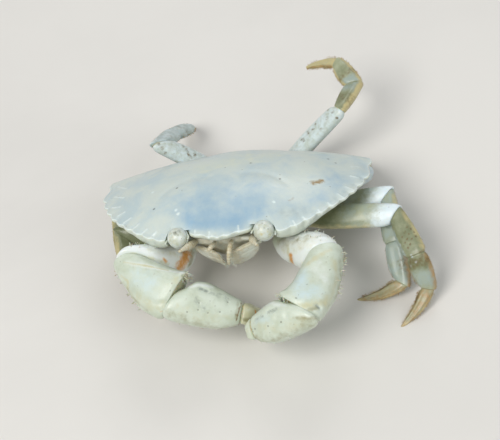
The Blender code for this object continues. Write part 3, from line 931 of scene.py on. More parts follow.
UNDERSIDE_FINISH = CrustFinish(
    "crab_underside", srgb(206, 196, 166), srgb(178, 164, 128), cloud=0.4, clouding=0.8, grain=0.08,
    speck=srgb(120, 96, 52), speck_scale=1.2, speck_size=0.16, specks=0.4,
    stains_and_painted_light=stains_and_painted_light_from(cream=(190, 176, 138, 0.9, 0.5), olive=(140, 126, 84, 0.9, 0.5),
                   brown=(124, 102, 64, 1.2, 0.5), white=(226, 230, 218, 1.2, 0.35),
                   rust=(176, 118, 56, 1.5, 0.6), dot=(54, 48, 34, 3.0, 0.2)),
    granules=3.0, rise=0.3, pits=1.3, sink=0.4, waves=1.0, bump=0.4, roughness=(0.36, 0.52),
    scatter=0.3)
EYE_FINISH = CrustFinish(
    "crab_eye", srgb(214, 222, 214), srgb(192, 196, 172), cloud=1.0, clouding=0.8, grain=0.10,
    speck=srgb(112, 114, 98), speck_scale=2.6, speck_size=0.26, specks=0.55,
    stains_and_painted_light=stains_and_painted_light_from(white=(230, 238, 232, 2.0, 0.3), cream=(204, 198, 152, 2.0, 0.6),
                   grey=(132, 138, 128, 2.4, 0.7), brown=(88, 84, 64, 2.0, 0.3),
                   dot=(34, 36, 32, 3.0, 0.2)),
    granules=5.0, rise=0.6, pits=2.0, sink=0.3, waves=0.5, bump=0.35, roughness=(0.28, 0.42), coat=0.3,
    coat_roughness=0.15, scatter=0.25)
MEMBRANE_FINISH = PlainFinish("crab_membrane", srgb(206, 200, 168), srgb(182, 172, 130), 1.2, 0.45, 0.4, 0.4)
BRISTLE_FINISH = PlainFinish("crab_bristle", srgb(186, 164, 116), srgb(140, 114, 70), 0.6, 0.5, 0.2)
PALE_BRISTLE_FINISH = PlainFinish("crab_pale_bristle", srgb(226, 228, 214), srgb(190, 186, 156), 0.6, 0.5,
                                  0.2)
FLOOR_FINISH = PlainFinish("studio_floor", srgb(226, 224, 219), srgb(220, 218, 213), 0.01, 0.75)
Finish = CrustFinish | PlainFinish


@dataclass
class Workshop:
    """What every sub-assembly needs to finish its pieces."""

    effects: Effects
    materials: dict[str, bpy.types.Material] = field(default_factory=dict)
    rng: np.random.Generator = field(default_factory=lambda: np.random.default_rng(SEED))

    def material(self, finish: Finish) -> bpy.types.Material:
        """Give the finish's material, made at its first use."""
        if finish.name not in self.materials:
            self.materials[finish.name] = finish.build(self.effects)
        return self.materials[finish.name]

    def hand_over(self, piece: bpy.types.Object, finish: Finish, slot: str, *nodes: str) -> None:
        """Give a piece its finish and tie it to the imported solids.

        Args:
            piece: The finished mesh object.
            finish: Its finish, given unless it holds a material already.
            slot: The record's slot it belongs to.
            nodes: The solids it stands for.
        """
        if not piece.data.materials:
            piece.data.materials.append(self.material(finish))
        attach(piece, MAIN_BODY)
        if nodes:
            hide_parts(*nodes)
        LOG.info("%s: %d points in %s", piece.name, len(piece.data.vertices), slot)


class BristleTree:
    """The Geometry Nodes tree that grows a tapered, bent bristle on every root point."""

    def __init__(self) -> None:
        """Build the tree."""
        tree = bpy.data.node_groups.new("Bristles", "GeometryNodeTree")
        sockets = tree.interface
        sockets.new_socket("Roots", in_out="INPUT", socket_type="NodeSocketGeometry")
        self.inputs = {}
        for name, kind, value in (("Thickness", NUMBER, 0.035), ("Bend", NUMBER, 0.25),
                                  ("Spread", NUMBER, 0.3), ("Seed", "NodeSocketInt", SEED),
                                  ("Finish", "NodeSocketMaterial", None)):
            socket = sockets.new_socket(name, in_out="INPUT", socket_type=kind)
            if value is not None:
                socket.default_value = value
            self.inputs[name] = socket.identifier
        sockets.new_socket("Bristles", in_out="OUTPUT", socket_type="NodeSocketGeometry")
        wiring = Wiring(tree)
        given = wiring.add("NodeGroupInput").outputs
        top = wiring.add("ShaderNodeCombineXYZ", {0: given["Bend"], 2: 0.92})
        curve = wiring.add("GeometryNodeCurveQuadraticBezier", {
            "Resolution": 4, "Start": (0, 0, 0), "Middle": (0, 0, 0.55), "End": top.outputs[0]})
        along = wiring.add("GeometryNodeSplineParameter").outputs["Factor"]
        taper = wiring.sum("SUBTRACT", 1.0, wiring.sum("MULTIPLY", along, 0.85))
        thinned = wiring.add("GeometryNodeSetCurveRadius", {"Curve": curve.outputs[0], "Radius": taper})
        profile = wiring.add("GeometryNodeCurvePrimitiveCircle", {
            "Resolution": 3, "Radius": given["Thickness"]})
        strand = wiring.add("GeometryNodeCurveToMesh", {
            "Curve": thinned.outputs[0], "Profile Curve": profile.outputs["Curve"], "Fill Caps": True})
        lean = wiring.add("GeometryNodeInputNamedAttribute", {"Name": "lean"}, data_type="FLOAT_VECTOR")
        scatter = wiring.add("FunctionNodeRandomValue", {
            0: (-1, -1, -1), 1: (1, 1, 1), "Seed": given["Seed"]}, data_type="FLOAT_VECTOR")
        spread = wiring.add("ShaderNodeVectorMath", {0: scatter.outputs[0], 3: given["Spread"]},
                            operation="SCALE")
        aim = wiring.add("ShaderNodeVectorMath", {0: lean.outputs[0], 1: spread.outputs[0]}, operation="ADD")
        turn = wiring.add("FunctionNodeAlignRotationToVector", {"Vector": aim.outputs[0]}, axis="Z")
        length = wiring.add("GeometryNodeInputNamedAttribute", {"Name": "length"}, data_type="FLOAT")
        placed = wiring.add("GeometryNodeInstanceOnPoints", {
            "Points": given["Roots"], "Instance": strand.outputs[0], "Rotation": turn.outputs[0],
            "Scale": length.outputs[0]})
        real = wiring.add("GeometryNodeRealizeInstances", {0: placed.outputs[0]})
        made = wiring.add("GeometryNodeSetMaterial", {
            "Geometry": real.outputs[0], "Material": given["Finish"]})
        wiring.add("NodeGroupOutput", {0: made.outputs[0]})
        self.tree = tree

    def grow(self, name: str, roots: Roots, shop: Workshop, finish: Finish, slot: str,
             **values: float) -> None:
        """Grow bristles on root points as one plain mesh, with no modifier left on it.

        Args:
            name: Name of the piece.
            roots: Where the bristles stand, how they lean and how long they are.
            shop: The workshop that takes the piece.
            finish: Their finish.
            slot: The record's slot they belong to.
            values: Values of the tree's named inputs.
        """
        mesh = bpy.data.meshes.new(f"{name}_roots")
        places, leans, lengths = roots.arrays()
        mesh.from_pydata(places.tolist(), [], [])
        lean = mesh.attributes.new("lean", "FLOAT_VECTOR", "POINT")
        lean.data.foreach_set("vector", leans.astype(np.float32).reshape(-1))
        length = mesh.attributes.new("length", "FLOAT", "POINT")
        length.data.foreach_set("value", lengths.astype(np.float32))
        seedbed = bpy.data.objects.new(f"{name}_roots", mesh)
        bpy.context.scene.collection.objects.link(seedbed)
        modifier = seedbed.modifiers.new("bristles", "NODES")
        modifier.node_group = self.tree
        modifier[self.inputs["Finish"]] = shop.material(finish)
        for key, value in values.items():
            modifier[self.inputs[key]] = value
        grown = bpy.data.meshes.new_from_object(seedbed.evaluated_get(bpy.context.evaluated_depsgraph_get()))
        bpy.data.objects.remove(seedbed)
        for extra in [item.name for item in grown.attributes if item.name in ("lean", "length")]:
            grown.attributes.remove(grown.attributes[extra])
        grown.name = name
        grown.shade_smooth()
        piece = bpy.data.objects.new(name, grown)
        bpy.context.scene.collection.objects.link(piece)
        shop.hand_over(piece, finish, slot)


@dataclass(frozen=True)
class Tuft:
    """A row of bristles along one edge of a piece.

    Edge is 1 for the upper and -1 for the lower edge, grip is how near the edge they keep, span is
    where along the piece they stand, and length is in mm.
    """

    edge: int
    grip: Span
    span: Span
    count: int
    length: float
    lean: Point = (0, 0, 0)

    def weight(self, surface: Surface) -> np.ndarray:
        """Give the chance of a bristle at each point of a surface."""
        u, v = surface.fields["u"], surface.fields["v"]
        return smooth_step(v * self.edge, *self.grip) * (u > self.span[0]) * (u < self.span[1])


@dataclass
class Roots:
    """Root points of bristles, gathered from the pieces that carry them."""

    rng: np.random.Generator
    places: list[np.ndarray] = field(default_factory=list)
    leans: list[np.ndarray] = field(default_factory=list)
    lengths: list[np.ndarray] = field(default_factory=list)
    sunk: float = 0.05 * MM
    spread: Span = (0.6, 1.25)
    droop: float = 0.4

    def add(self, surface: Surface, weight: np.ndarray, count: int, length: float, lean: Point) -> None:
        """Choose roots on a surface.

        Args:
            surface: The skin that carries them.
            weight: Chance of each point.
            count: How many roots.
            length: Mean length in mm.
            lean: A direction added to the outward one.
        """
        chosen = self.rng.choice(len(weight), size=count, p=weight / weight.sum())
        outward = surface.normals()[chosen]
        self.places.append(surface.points[chosen] - outward * self.sunk)
        self.leans.append(unit(outward + np.asarray(lean)))
        self.lengths.append(length * MM * self.rng.uniform(*self.spread, count))

    def plant(self, surface: Surface, *tufts: Tuft) -> None:
        """Choose the roots of rows of bristles on a surface."""
        for tuft in tufts:
            self.add(surface, tuft.weight(surface), tuft.count, tuft.length, tuft.lean)

    def arrays(self) -> tuple[np.ndarray, np.ndarray, np.ndarray]:
        """Give the places, leans and lengths of all roots whose bristles stay over the floor."""
        places, leans, lengths = (np.concatenate(rows) for rows in (self.places, self.leans, self.lengths))
        lowest = places[:, 2] + lengths * (np.minimum(leans[:, 2], 0) - self.droop)
        keep = lowest > self.sunk
        return places[keep], leans[keep], lengths[keep]


def bellows(first: np.ndarray, second: np.ndarray, reach: float, folds: int = 3,
            rows: int = 18) -> Surface:
    """Make the soft folded skin between two facing ends.

    Args:
        first: End ring of the piece before.
        second: Start ring of the piece after, with as many points.
        reach: How far it runs into both pieces, in metres.
        folds: Number of folds.
        rows: Number of rings.

    Returns:
        The closed skin.
    """
    a, b = first.mean(axis=0), second.mean(axis=0)
    shift = int(np.argmin([np.abs(first - np.roll(second, k, axis=0)).sum() for k in range(len(second))]))
    second = np.roll(second, shift, axis=0)
    along = unit(b - a)
    share = np.linspace(0, 1, rows)
    swell = 0.80 + 0.05 * np.cos(2 * np.pi * folds * share) - 0.25 * np.abs(2 * share - 1) ** 6
    rings = []
    for s, k in zip(share, swell):
        ring = (first - a) * (1 - s) + (second - b) * s
        rings.append(a * (1 - s) + b * s + ring * k + along * reach * (2 * s - 1))
    grid = np.array(rings)
    return ring_surface(grid, {"u": np.repeat(share[:, None], grid.shape[1], axis=1)})


def add_membranes(name: str, sweeps: list[Sweep], reach: float, count: int, slot: str,
                  shop: Workshop) -> None:
    """Make the soft skins in the joints of a limb as one piece.

    Args:
        name: Name of the limb.
        sweeps: Its pieces in order.
        reach: How far each skin runs into both pieces, in metres.
        count: Points round each skin.
        slot: The record's slot they belong to.
        shop: The workshop that takes the piece.
    """
    angle = 2 * np.pi * (np.arange(count) + 0.5) / count
    before, after = np.array((0.97,)), np.array((0.03,))
    skins = [bellows(first.grid(before, angle)[0], second.grid(after, angle)[0], reach)
             for first, second in zip(sweeps, sweeps[1:])]
    shop.hand_over(reduce(Surface.join, skins).to_object(f"{name}_membranes"), MEMBRANE_FINISH, slot)


def voxel_skin(rough: bpy.types.Object, voxel: float, rounds: int) -> Surface:
    """Melt an object's parts into one soft skin and remove the object.

    Args:
        rough: Object of closed parts.
        voxel: Size of the cells that the skin is made of, in metres.
        rounds: Rounds of softening.

    Returns:
        The closed skin, without fields.
    """
    remesh = rough.modifiers.new("remesh", "REMESH")
    remesh.mode = "VOXEL"
    remesh.voxel_size = voxel
    soften = rough.modifiers.new("soften", "SMOOTH")
    soften.factor = 0.5
    soften.iterations = rounds
    made = rough.evaluated_get(bpy.context.evaluated_depsgraph_get()).to_mesh()
    points = np.empty(len(made.vertices) * 3)
    made.vertices.foreach_get("co", points)
    faces = [tuple(face.vertices) for face in made.polygons]
    bpy.data.objects.remove(rough)
    quads = np.array([face for face in faces if len(face) == 4])
    triangles = np.array([face for face in faces if len(face) == 3], int).reshape(-1, 3)
    return Surface(points.reshape(-1, 3), quads, triangles).turn_out()


@dataclass
class Carapace:
    """The broad toothed dome, in shares of the width where no unit is named."""

    dome: float = 0.104
    dome_powers: tuple[float, float] = (2.1, 0.95)
    middle: Pixel = (0.0, -0.06)
    front_teeth: tuple = ((0.0, -0.416), (0.036, -0.405), (0.080, -0.380))
    front_notch: float = 0.011
    orbit_centre: Pixel = (0.154, -0.360)
    orbit_radius: float = 0.0452
    side_curve: tuple = ((0.200, -0.372), (0.350, -0.320), (0.470, -0.190), (0.500, -0.010))
    side_teeth: int = 9
    tooth_depth: tuple[float, float] = (0.006, 0.004)
    tooth_rise: tuple = ((0.28, 0.004), (0.7, 0.001))
    last_tooth: tuple = ((0.484, 0.036), (0.498, 0.060), (0.492, 0.090))
    rear_curve: tuple = ((0.474, 0.100), (0.400, 0.150), (0.260, 0.205), (0.165, 0.238))
    rear_edge: float = 0.248
    rear_bow: float = 0.010
    margin_dip: float = 0.018
    dip_place: Span = (0.22, 0.10)
    fine_steps: int = 7
    line_rounds: int = 6
    corner_rounds: int = 1400
    top_rows: tuple = ((0.012, 0.84, 66), (0.84, 1.0, 42))
    tooth_span: Span = (0.935, 1.0)
    corner_span: Span = (0.62, 0.97)
    ripple_span: Span = (0.955, 1.0)
    dip_span: Span = (0.84, 0.985)
    roll_span: Span = (0.82, 0.9)
    roll_end: Span = (-1.002, -0.975)
    under: tuple = ((1.0, 0.0), (1.0015, -0.003), (0.997, -0.0065), (0.988, -0.0098), (0.965, -0.016),
                    (0.93, -0.0225), (0.90, -0.028), (0.86, -0.0325), (0.82, -0.036), (0.6, -0.0355),
                    (0.35, -0.035), (0.12, -0.035))
    cheek: float = 0.026
    cheek_place: Span = (0.27, 0.085)
    front_half: float = -0.2
    # Beads and furrows along the margin: height, place and width in mm
    beads: tuple = ((0.07, 0.22, 0.2), (-0.04, 0.85, 0.4))
    # Soft regions: place, size, and height in mm
    regions: tuple = ((0.0, -0.235, 0.13, 0.26), (0.17, -0.215, 0.09, 0.20), (0.0, -0.05, 0.09, 0.14),
                      (0.0, 0.10, 0.10, 0.24), (0.27, -0.02, 0.12, 0.24), (0.20, 0.13, 0.08, 0.12),
                      (0.35, -0.14, 0.07, 0.12))
    # Furrows across the neck and along the heart: height in mm, half width, rise and fall
    neck: tuple = (0.09, 0.018, (0.03, 0.07), (0.20, 0.27))
    neck_bow: tuple = (0.13, 3.6, 0.10)
    heart: tuple = (0.07, 0.016, (-0.13, -0.05), (0.12, 0.19))
    heart_wave: tuple = (0.085, 0.02, 20)
    relief_end: Span = (0.85, 0.97)

    def half_outline(self) -> list[tuple[np.ndarray, np.ndarray]]:
        """Give pairs of toothed and smooth margin points, from the middle tooth to the rear edge."""
        pairs = []
        for first, second in zip(self.front_teeth, self.front_teeth[1:]):
            first, second = np.array(first), np.array(second)
            notch = (first + second) / 2
            pairs += [(first, first), (notch + (0, self.front_notch), notch)]
        last = np.array(self.front_teeth[-1])
        pairs.append((last, last))
        centre = np.array(self.orbit_centre)
        for angle in np.linspace(0, math.pi, 7):
            around = np.array((-math.cos(angle), math.sin(angle))) * self.orbit_radius
            pairs.append((centre + around, np.array((centre[0] + around[0], centre[1] - 0.008))))
        for tooth in range(self.side_teeth):
            depth = self.tooth_depth[0] + self.tooth_depth[1] * tooth / self.side_teeth
            for share, rise in ((0.0, -depth), *self.tooth_rise):
                t = (tooth + share) / self.side_teeth
                here, ahead = bezier(self.side_curve, np.array((t, min(t + 0.02, 1.02))))
                outward = unit(np.array((here[1] - ahead[1], ahead[0] - here[0])))
                if outward @ (here - self.middle) < 0:
                    outward = -outward
                pairs.append((here + outward * rise, here))
        pairs += [(np.array(point), np.array((0.488, point[1]))) for point in self.last_tooth]
        pairs += [(point, point) for point in bezier(self.rear_curve, np.linspace(0, 1, 7))]
        for x in (0.11, 0.055, 0.0):
            point = np.array((x, self.rear_edge - self.rear_bow * (x / self.rear_curve[-1][0]) ** 2))
            pairs.append((point, point))
        return pairs

    def outline(self) -> tuple[np.ndarray, np.ndarray, np.ndarray]:
        """Give the whole margin in fine steps: toothed, smooth, and with its corners rounded away."""
        half = self.half_outline()
        flip = np.array((-1, 1))
        pairs = half + [(a * flip, b * flip) for a, b in half[1:-1]][::-1]
        lines = []
        for k in range(2):
            line = np.array([pair[k] for pair in pairs])
            after = np.roll(line, -1, axis=0)
            share = np.arange(self.fine_steps)[None, :, None] / self.fine_steps
            line = (line[:, None] * (1 - share) + after[:, None] * share).reshape(-1, 2)
            lines.append(evened(line, self.line_rounds))
        return lines[0], lines[1], evened(lines[1], self.corner_rounds)

    def margin_height(self, x: np.ndarray) -> np.ndarray:
        """Give the height of the margin, which dips towards the orbits."""
        return -self.margin_dip * hump(np.abs(x), *self.dip_place)

    def surface(self) -> Surface:
        """Skin the dome, its rim and its inner face."""
        toothed, smooth, calm = self.outline()
        margin = self.margin_height(toothed[:, 0])
        top = np.concatenate([np.linspace(*row)[:-1] for row in self.top_rows])
        rings = []
        for share in top:
            detail, corner = smooth_step(share, *self.tooth_span), smooth_step(share, *self.corner_span)
            line = calm * (1 - corner) + smooth * corner
            flat = self.middle + (line * (1 - detail) + toothed * detail - self.middle) * share
            rise = self.dome * (1 - share ** self.dome_powers[0]) ** self.dome_powers[1]
            rings.append(np.column_stack((flat, rise + margin * share ** 4)))
        x, front = np.abs(toothed[:, 0]), toothed[:, 1] < self.front_half
        cheek = self.cheek * hump(x, *self.cheek_place) * front
        from_orbit = (x - self.orbit_centre[0]) / (1.5 * self.orbit_radius)
        orbit = np.exp(-(from_orbit ** 4)) * front
        for share, drop in self.under:
            ripple = np.maximum(orbit, smooth_step(share, *self.ripple_span))[:, None]
            flat = self.middle + (smooth * (1 - ripple) + toothed * ripple - self.middle) * share
            keep = smooth_step(share, *self.dip_span)
            roll = smooth_step(-share, *self.roll_end) * smooth_step(share, *self.roll_span)
            rings.append(np.column_stack((flat, drop + margin * keep - cheek * roll)))
        body = np.array(rings)
        grid = body_to_model(body)
        shares = np.concatenate((top, [share for share, _ in self.under]))
        under = np.arange(len(rings)) >= len(top)
        fields = {name: np.repeat(np.asarray(values, float)[:, None], body.shape[1], axis=1)
                  for name, values in (("share", shares), ("under", under))}
        fields |= {"inside": np.linalg.norm(grid - grid[len(top)][None], axis=2) / MM,
                   "x": body[..., 0], "y": body[..., 1]}
        return ring_surface(grid, fields)

    def relief(self, surface: Surface) -> np.ndarray:
        """Give the height of the rim bead and of the soft regions, in metres."""
        data = surface.fields
        x, y, top = np.abs(data["x"]), data["y"], 1 - data["under"]
        bead = sum(height * hump(data["inside"], place, width) * top for height, place, width in self.beads)
        swell = np.zeros_like(x)
        for region_x, region_y, size, height in self.regions:
            swell += height * np.exp(-(((x - region_x) ** 2 + (y - region_y) ** 2) / size ** 2))
        height, width, *ends = self.neck
        place, bow, middle = self.neck_bow
        furrow = height * hump(y + place + bow * (x - middle) ** 2, 0.0, width) * between(x, *ends)
        height, width, *ends = self.heart
        place, wave, waves = self.heart_wave
        furrow += height * hump(x - place - wave * np.sin(y * waves), 0.0, width) * between(y, *ends)
        fade = 1 - smooth_step(data["share"], *self.relief_end)
        return (bead + (swell - furrow) * fade * top) * MM

    def build(self, shop: Workshop) -> None:
        """Make the shell, its marks and the painted shade under its lip."""
        surface = self.surface()
        surface.push(self.relief(surface))
        tints = dress(surface, SHELL_MARKS)
        data = surface.fields
        top = 1 - data["under"]
        rim, edge_line = hump(data["inside"], 0.0, 0.3) * top, hump(data["inside"], 0.08, 0.16) * top
        # Painted shade: the underside of the lip is tinted brown as if in shadow, from the lip itself over
        # the middle and the crab's right, and from further in on its left.
        left = 1 - smooth_step(-data["x"], -0.17, -0.10)
        painted_lip_shade = smooth_step(-data["share"], -0.985 + 0.07 * left, -0.95 + 0.1 * left)
        tints["cream"] = np.maximum(tints["cream"], np.maximum(rim * 0.45, data["under"] * 0.7))
        tints["brown"] = np.maximum(tints["brown"], data["under"] * painted_lip_shade * 0.7)
        tints["white"] = np.maximum(tints["white"], edge_line * 0.85)
        shop.hand_over(surface.to_object("carapace_shell", tints), SHELL_FINISH, "shell", "carapace")


EYE_MARKS = {
    "left": marks(
        grey=dots(0.28, 0.4, 262, 223, 269, 222, 273, 227, 259, 229),
        cream=dots(0.35, 0.6, 267, 231, 262, 234, 270, 235),
        dot=dots(0.09, 0.8, 270, 222, 275, 225, 268, 229, 264, 228),
        white=dots(0.3, 0.8, 257, 226, 264, 219, 270, 226)),
    "right": marks(
        grey=dots(0.4, 0.6, 171, 230, 175, 233, 179, 231),
        dot=dots(0.1, 0.8, 170, 231, 174, 234, 173, 229, 178, 235),
        white=dots(0.5, 0.8, 165, 234, 168, 239, 180, 238)),
}


def streaks(*lines: Row) -> tuple[Stroke, ...]:
    """Give the short pale lines inside the shell's teeth, each raised a little."""
    step = 1.5
    kinds = ((Tint.WHITE, 0.21, 0.62), (Tint.RELIEF, 0.24, 0.07))
    return tuple(Stroke(tint, ((x0, y0), (x1, y1)), width, amount, step)
                 for x0, y0, x1, y1 in lines for tint, width, amount in kinds)


SHELL_MARKS = marks(
    blue=[(1.9, 0.62, 194, 224, 206, 223, 222, 223, 234, 220),
          (3.6, 0.44, 188, 212, 208, 207, 228, 204, 244, 206), (4.4, 0.3, 200, 194, 226, 188, 252, 186),
          (3.2, 0.36, 262, 208, 284, 210, 304, 204, 322, 192, 338, 178), (3.4, 0.14, 148, 202, 166, 196)],
    grey=[(1.8, 0.3, 286, 214, 300, 212)],
    # The thin cream strokes from 150, 178 and 158, 171 along the rear-left margin are partly its pale rim
    # and partly a painted highlight on that edge.
    cream=[(3.0, 0.5, 206, 166, 236, 159, 268, 155), (0.7, 0.4, 150, 178, 166, 170, 186, 166),
           (0.5, 0.4, 158, 171, 176, 164, 198, 160), (2.2, 0.35, 290, 176, 306, 170, 322, 164),
           (0.6, 0.45, 196, 158, 226, 152, 262, 149)],
    rust=[(0.55, 0.8, 313, 183, 321, 181), (0.35, 0.3, 289, 200, 293, 198)],
    dot=dots(0.22, 0.85, 154, 209, 177, 188, 251, 163, 280, 179, 328, 159, 336, 163),
    white=dots(0.3, 1.0, 176, 210, 274, 202, 140, 172, 178, 214)) + streaks(
    (118, 187, 126, 189), (115, 197, 124, 198), (112, 208, 120, 207), (118, 216, 125, 212),
    (124, 223, 131, 218), (132, 230, 139, 224), (142, 234, 147, 229), (152, 236.5, 156, 232),
    (359, 167, 351, 167), (359, 178, 351, 176), (354, 190, 346, 187), (345, 199, 338, 194),
    (334, 208, 328, 203), (324, 215, 318, 210), (309, 222, 303, 217), (297, 227, 293, 221),
    (195, 236, 195, 230), (209, 238, 209, 232), (239, 232, 238, 226))


# Claws: joints in mm from the body's middle over the floor
CLAW_COXA = (0.170, -0.190, -0.125)
CLAW_JOINTS = {
    "left": {"knuckle": (9.3, -13.4, 8.6), "elbow": (16.4, -19.4, 13.2), "wrist": (13.4, -30.0, 13.2),
             "palm_end": (5.2, -29.7, 9.2), "tip": (5.6, -24.8, 1.3)},
    "right": {"knuckle": (-9.0, -13.0, 7.9), "elbow": (-15.2, -18.7, 13.8),
              "wrist": (-8.8, -25.5, 12.4), "palm_end": (1.9, -25.4, 7.9), "tip": (2.9, -20.2, 1.3)},
}
WRIST_SQUARENESS = 2.0
MERUS_UPPER_EDGE = {"left": (0.55, 0.1, 0.8), "right": (0.0, 0.38, 0.94)}
CARPUS_INNER_EDGE = {"left": (-0.9, 0.2, 0.15), "right": (0.6, 0.55, 0.5)}
PALM_UPPER_EDGE = {"left": (0.1, 0.74, 0.67), "right": (0.0, 0.74, 0.67)}
# Place along, reach to the upper and lower edge, half thickness, in mm
CLAW_SECTIONS = {
    "left_merus": ((0, 1.7, 1.7, 1.5), (0.15, 2.0, 2.0, 1.8), (0.4, 3.3, 2.4, 2.3), (0.62, 3.7, 2.3, 2.7),
                   (0.8, 4.1, 2.5, 2.9), (0.92, 3.6, 2.6, 2.8), (1, 2.7, 2.6, 2.4)),
    "right_merus": ((0, 1.7, 1.7, 1.5), (0.15, 2.0, 2.1, 1.8), (0.4, 3.3, 3.0, 2.3), (0.65, 3.45, 3.3, 2.7),
                    (0.82, 3.9, 3.5, 2.8), (0.93, 4.0, 3.3, 2.7), (1, 3.3, 2.9, 2.4)),
    "left_carpus": ((0, 2.4, 3.0, 2.7), (0.22, 2.6, 3.9, 3.0), (0.55, 2.9, 4.5, 3.1), (0.8, 3.7, 4.0, 2.9),
                    (0.93, 4.4, 3.6, 2.6), (1, 4.2, 2.9, 2.2)),
    "right_carpus": ((0, 2.5, 2.7, 2.7), (0.22, 3.1, 3.7, 3.0), (0.55, 4.1, 4.5, 3.1),
                     (0.8, 4.9, 4.0, 2.9), (0.93, 5.5, 3.6, 2.6), (1, 5.3, 2.9, 2.2)),
    "left_palm": ((0, 1.7, 2.4, 1.9), (0.1, 2.1, 3.1, 2.4), (0.28, 3.0, 3.5, 2.8), (0.45, 3.2, 3.6, 2.9),
                  (0.65, 2.9, 3.5, 2.7), (0.86, 2.4, 2.9, 2.3), (1, 2.0, 2.4, 2.0)),
    "right_palm": ((0, 1.9, 2.4, 1.9), (0.1, 2.6, 3.0, 2.4), (0.28, 4.1, 3.3, 2.8), (0.42, 4.2, 3.4, 2.9),
                   (0.65, 3.5, 3.3, 2.7), (0.86, 2.6, 2.7, 2.3), (1, 2.1, 2.1, 2.0)),
    "fixed_finger": ((0, 1.6, 1.8, 1.2), (0.3, 1.5, 1.7, 1.1), (0.65, 1.1, 1.2, 0.8), (1, 0.4, 0.4, 0.35)),
    "moving_finger": ((0, 1.7, 1.8, 1.3), (0.12, 1.75, 1.85, 1.35), (0.35, 1.45, 1.5, 1.2),
                      (0.68, 0.95, 0.95, 0.85), (1, 0.35, 0.35, 0.3)),
}
FINGER_REACH = {"left": 1.8 * MM, "right": 3.4 * MM}
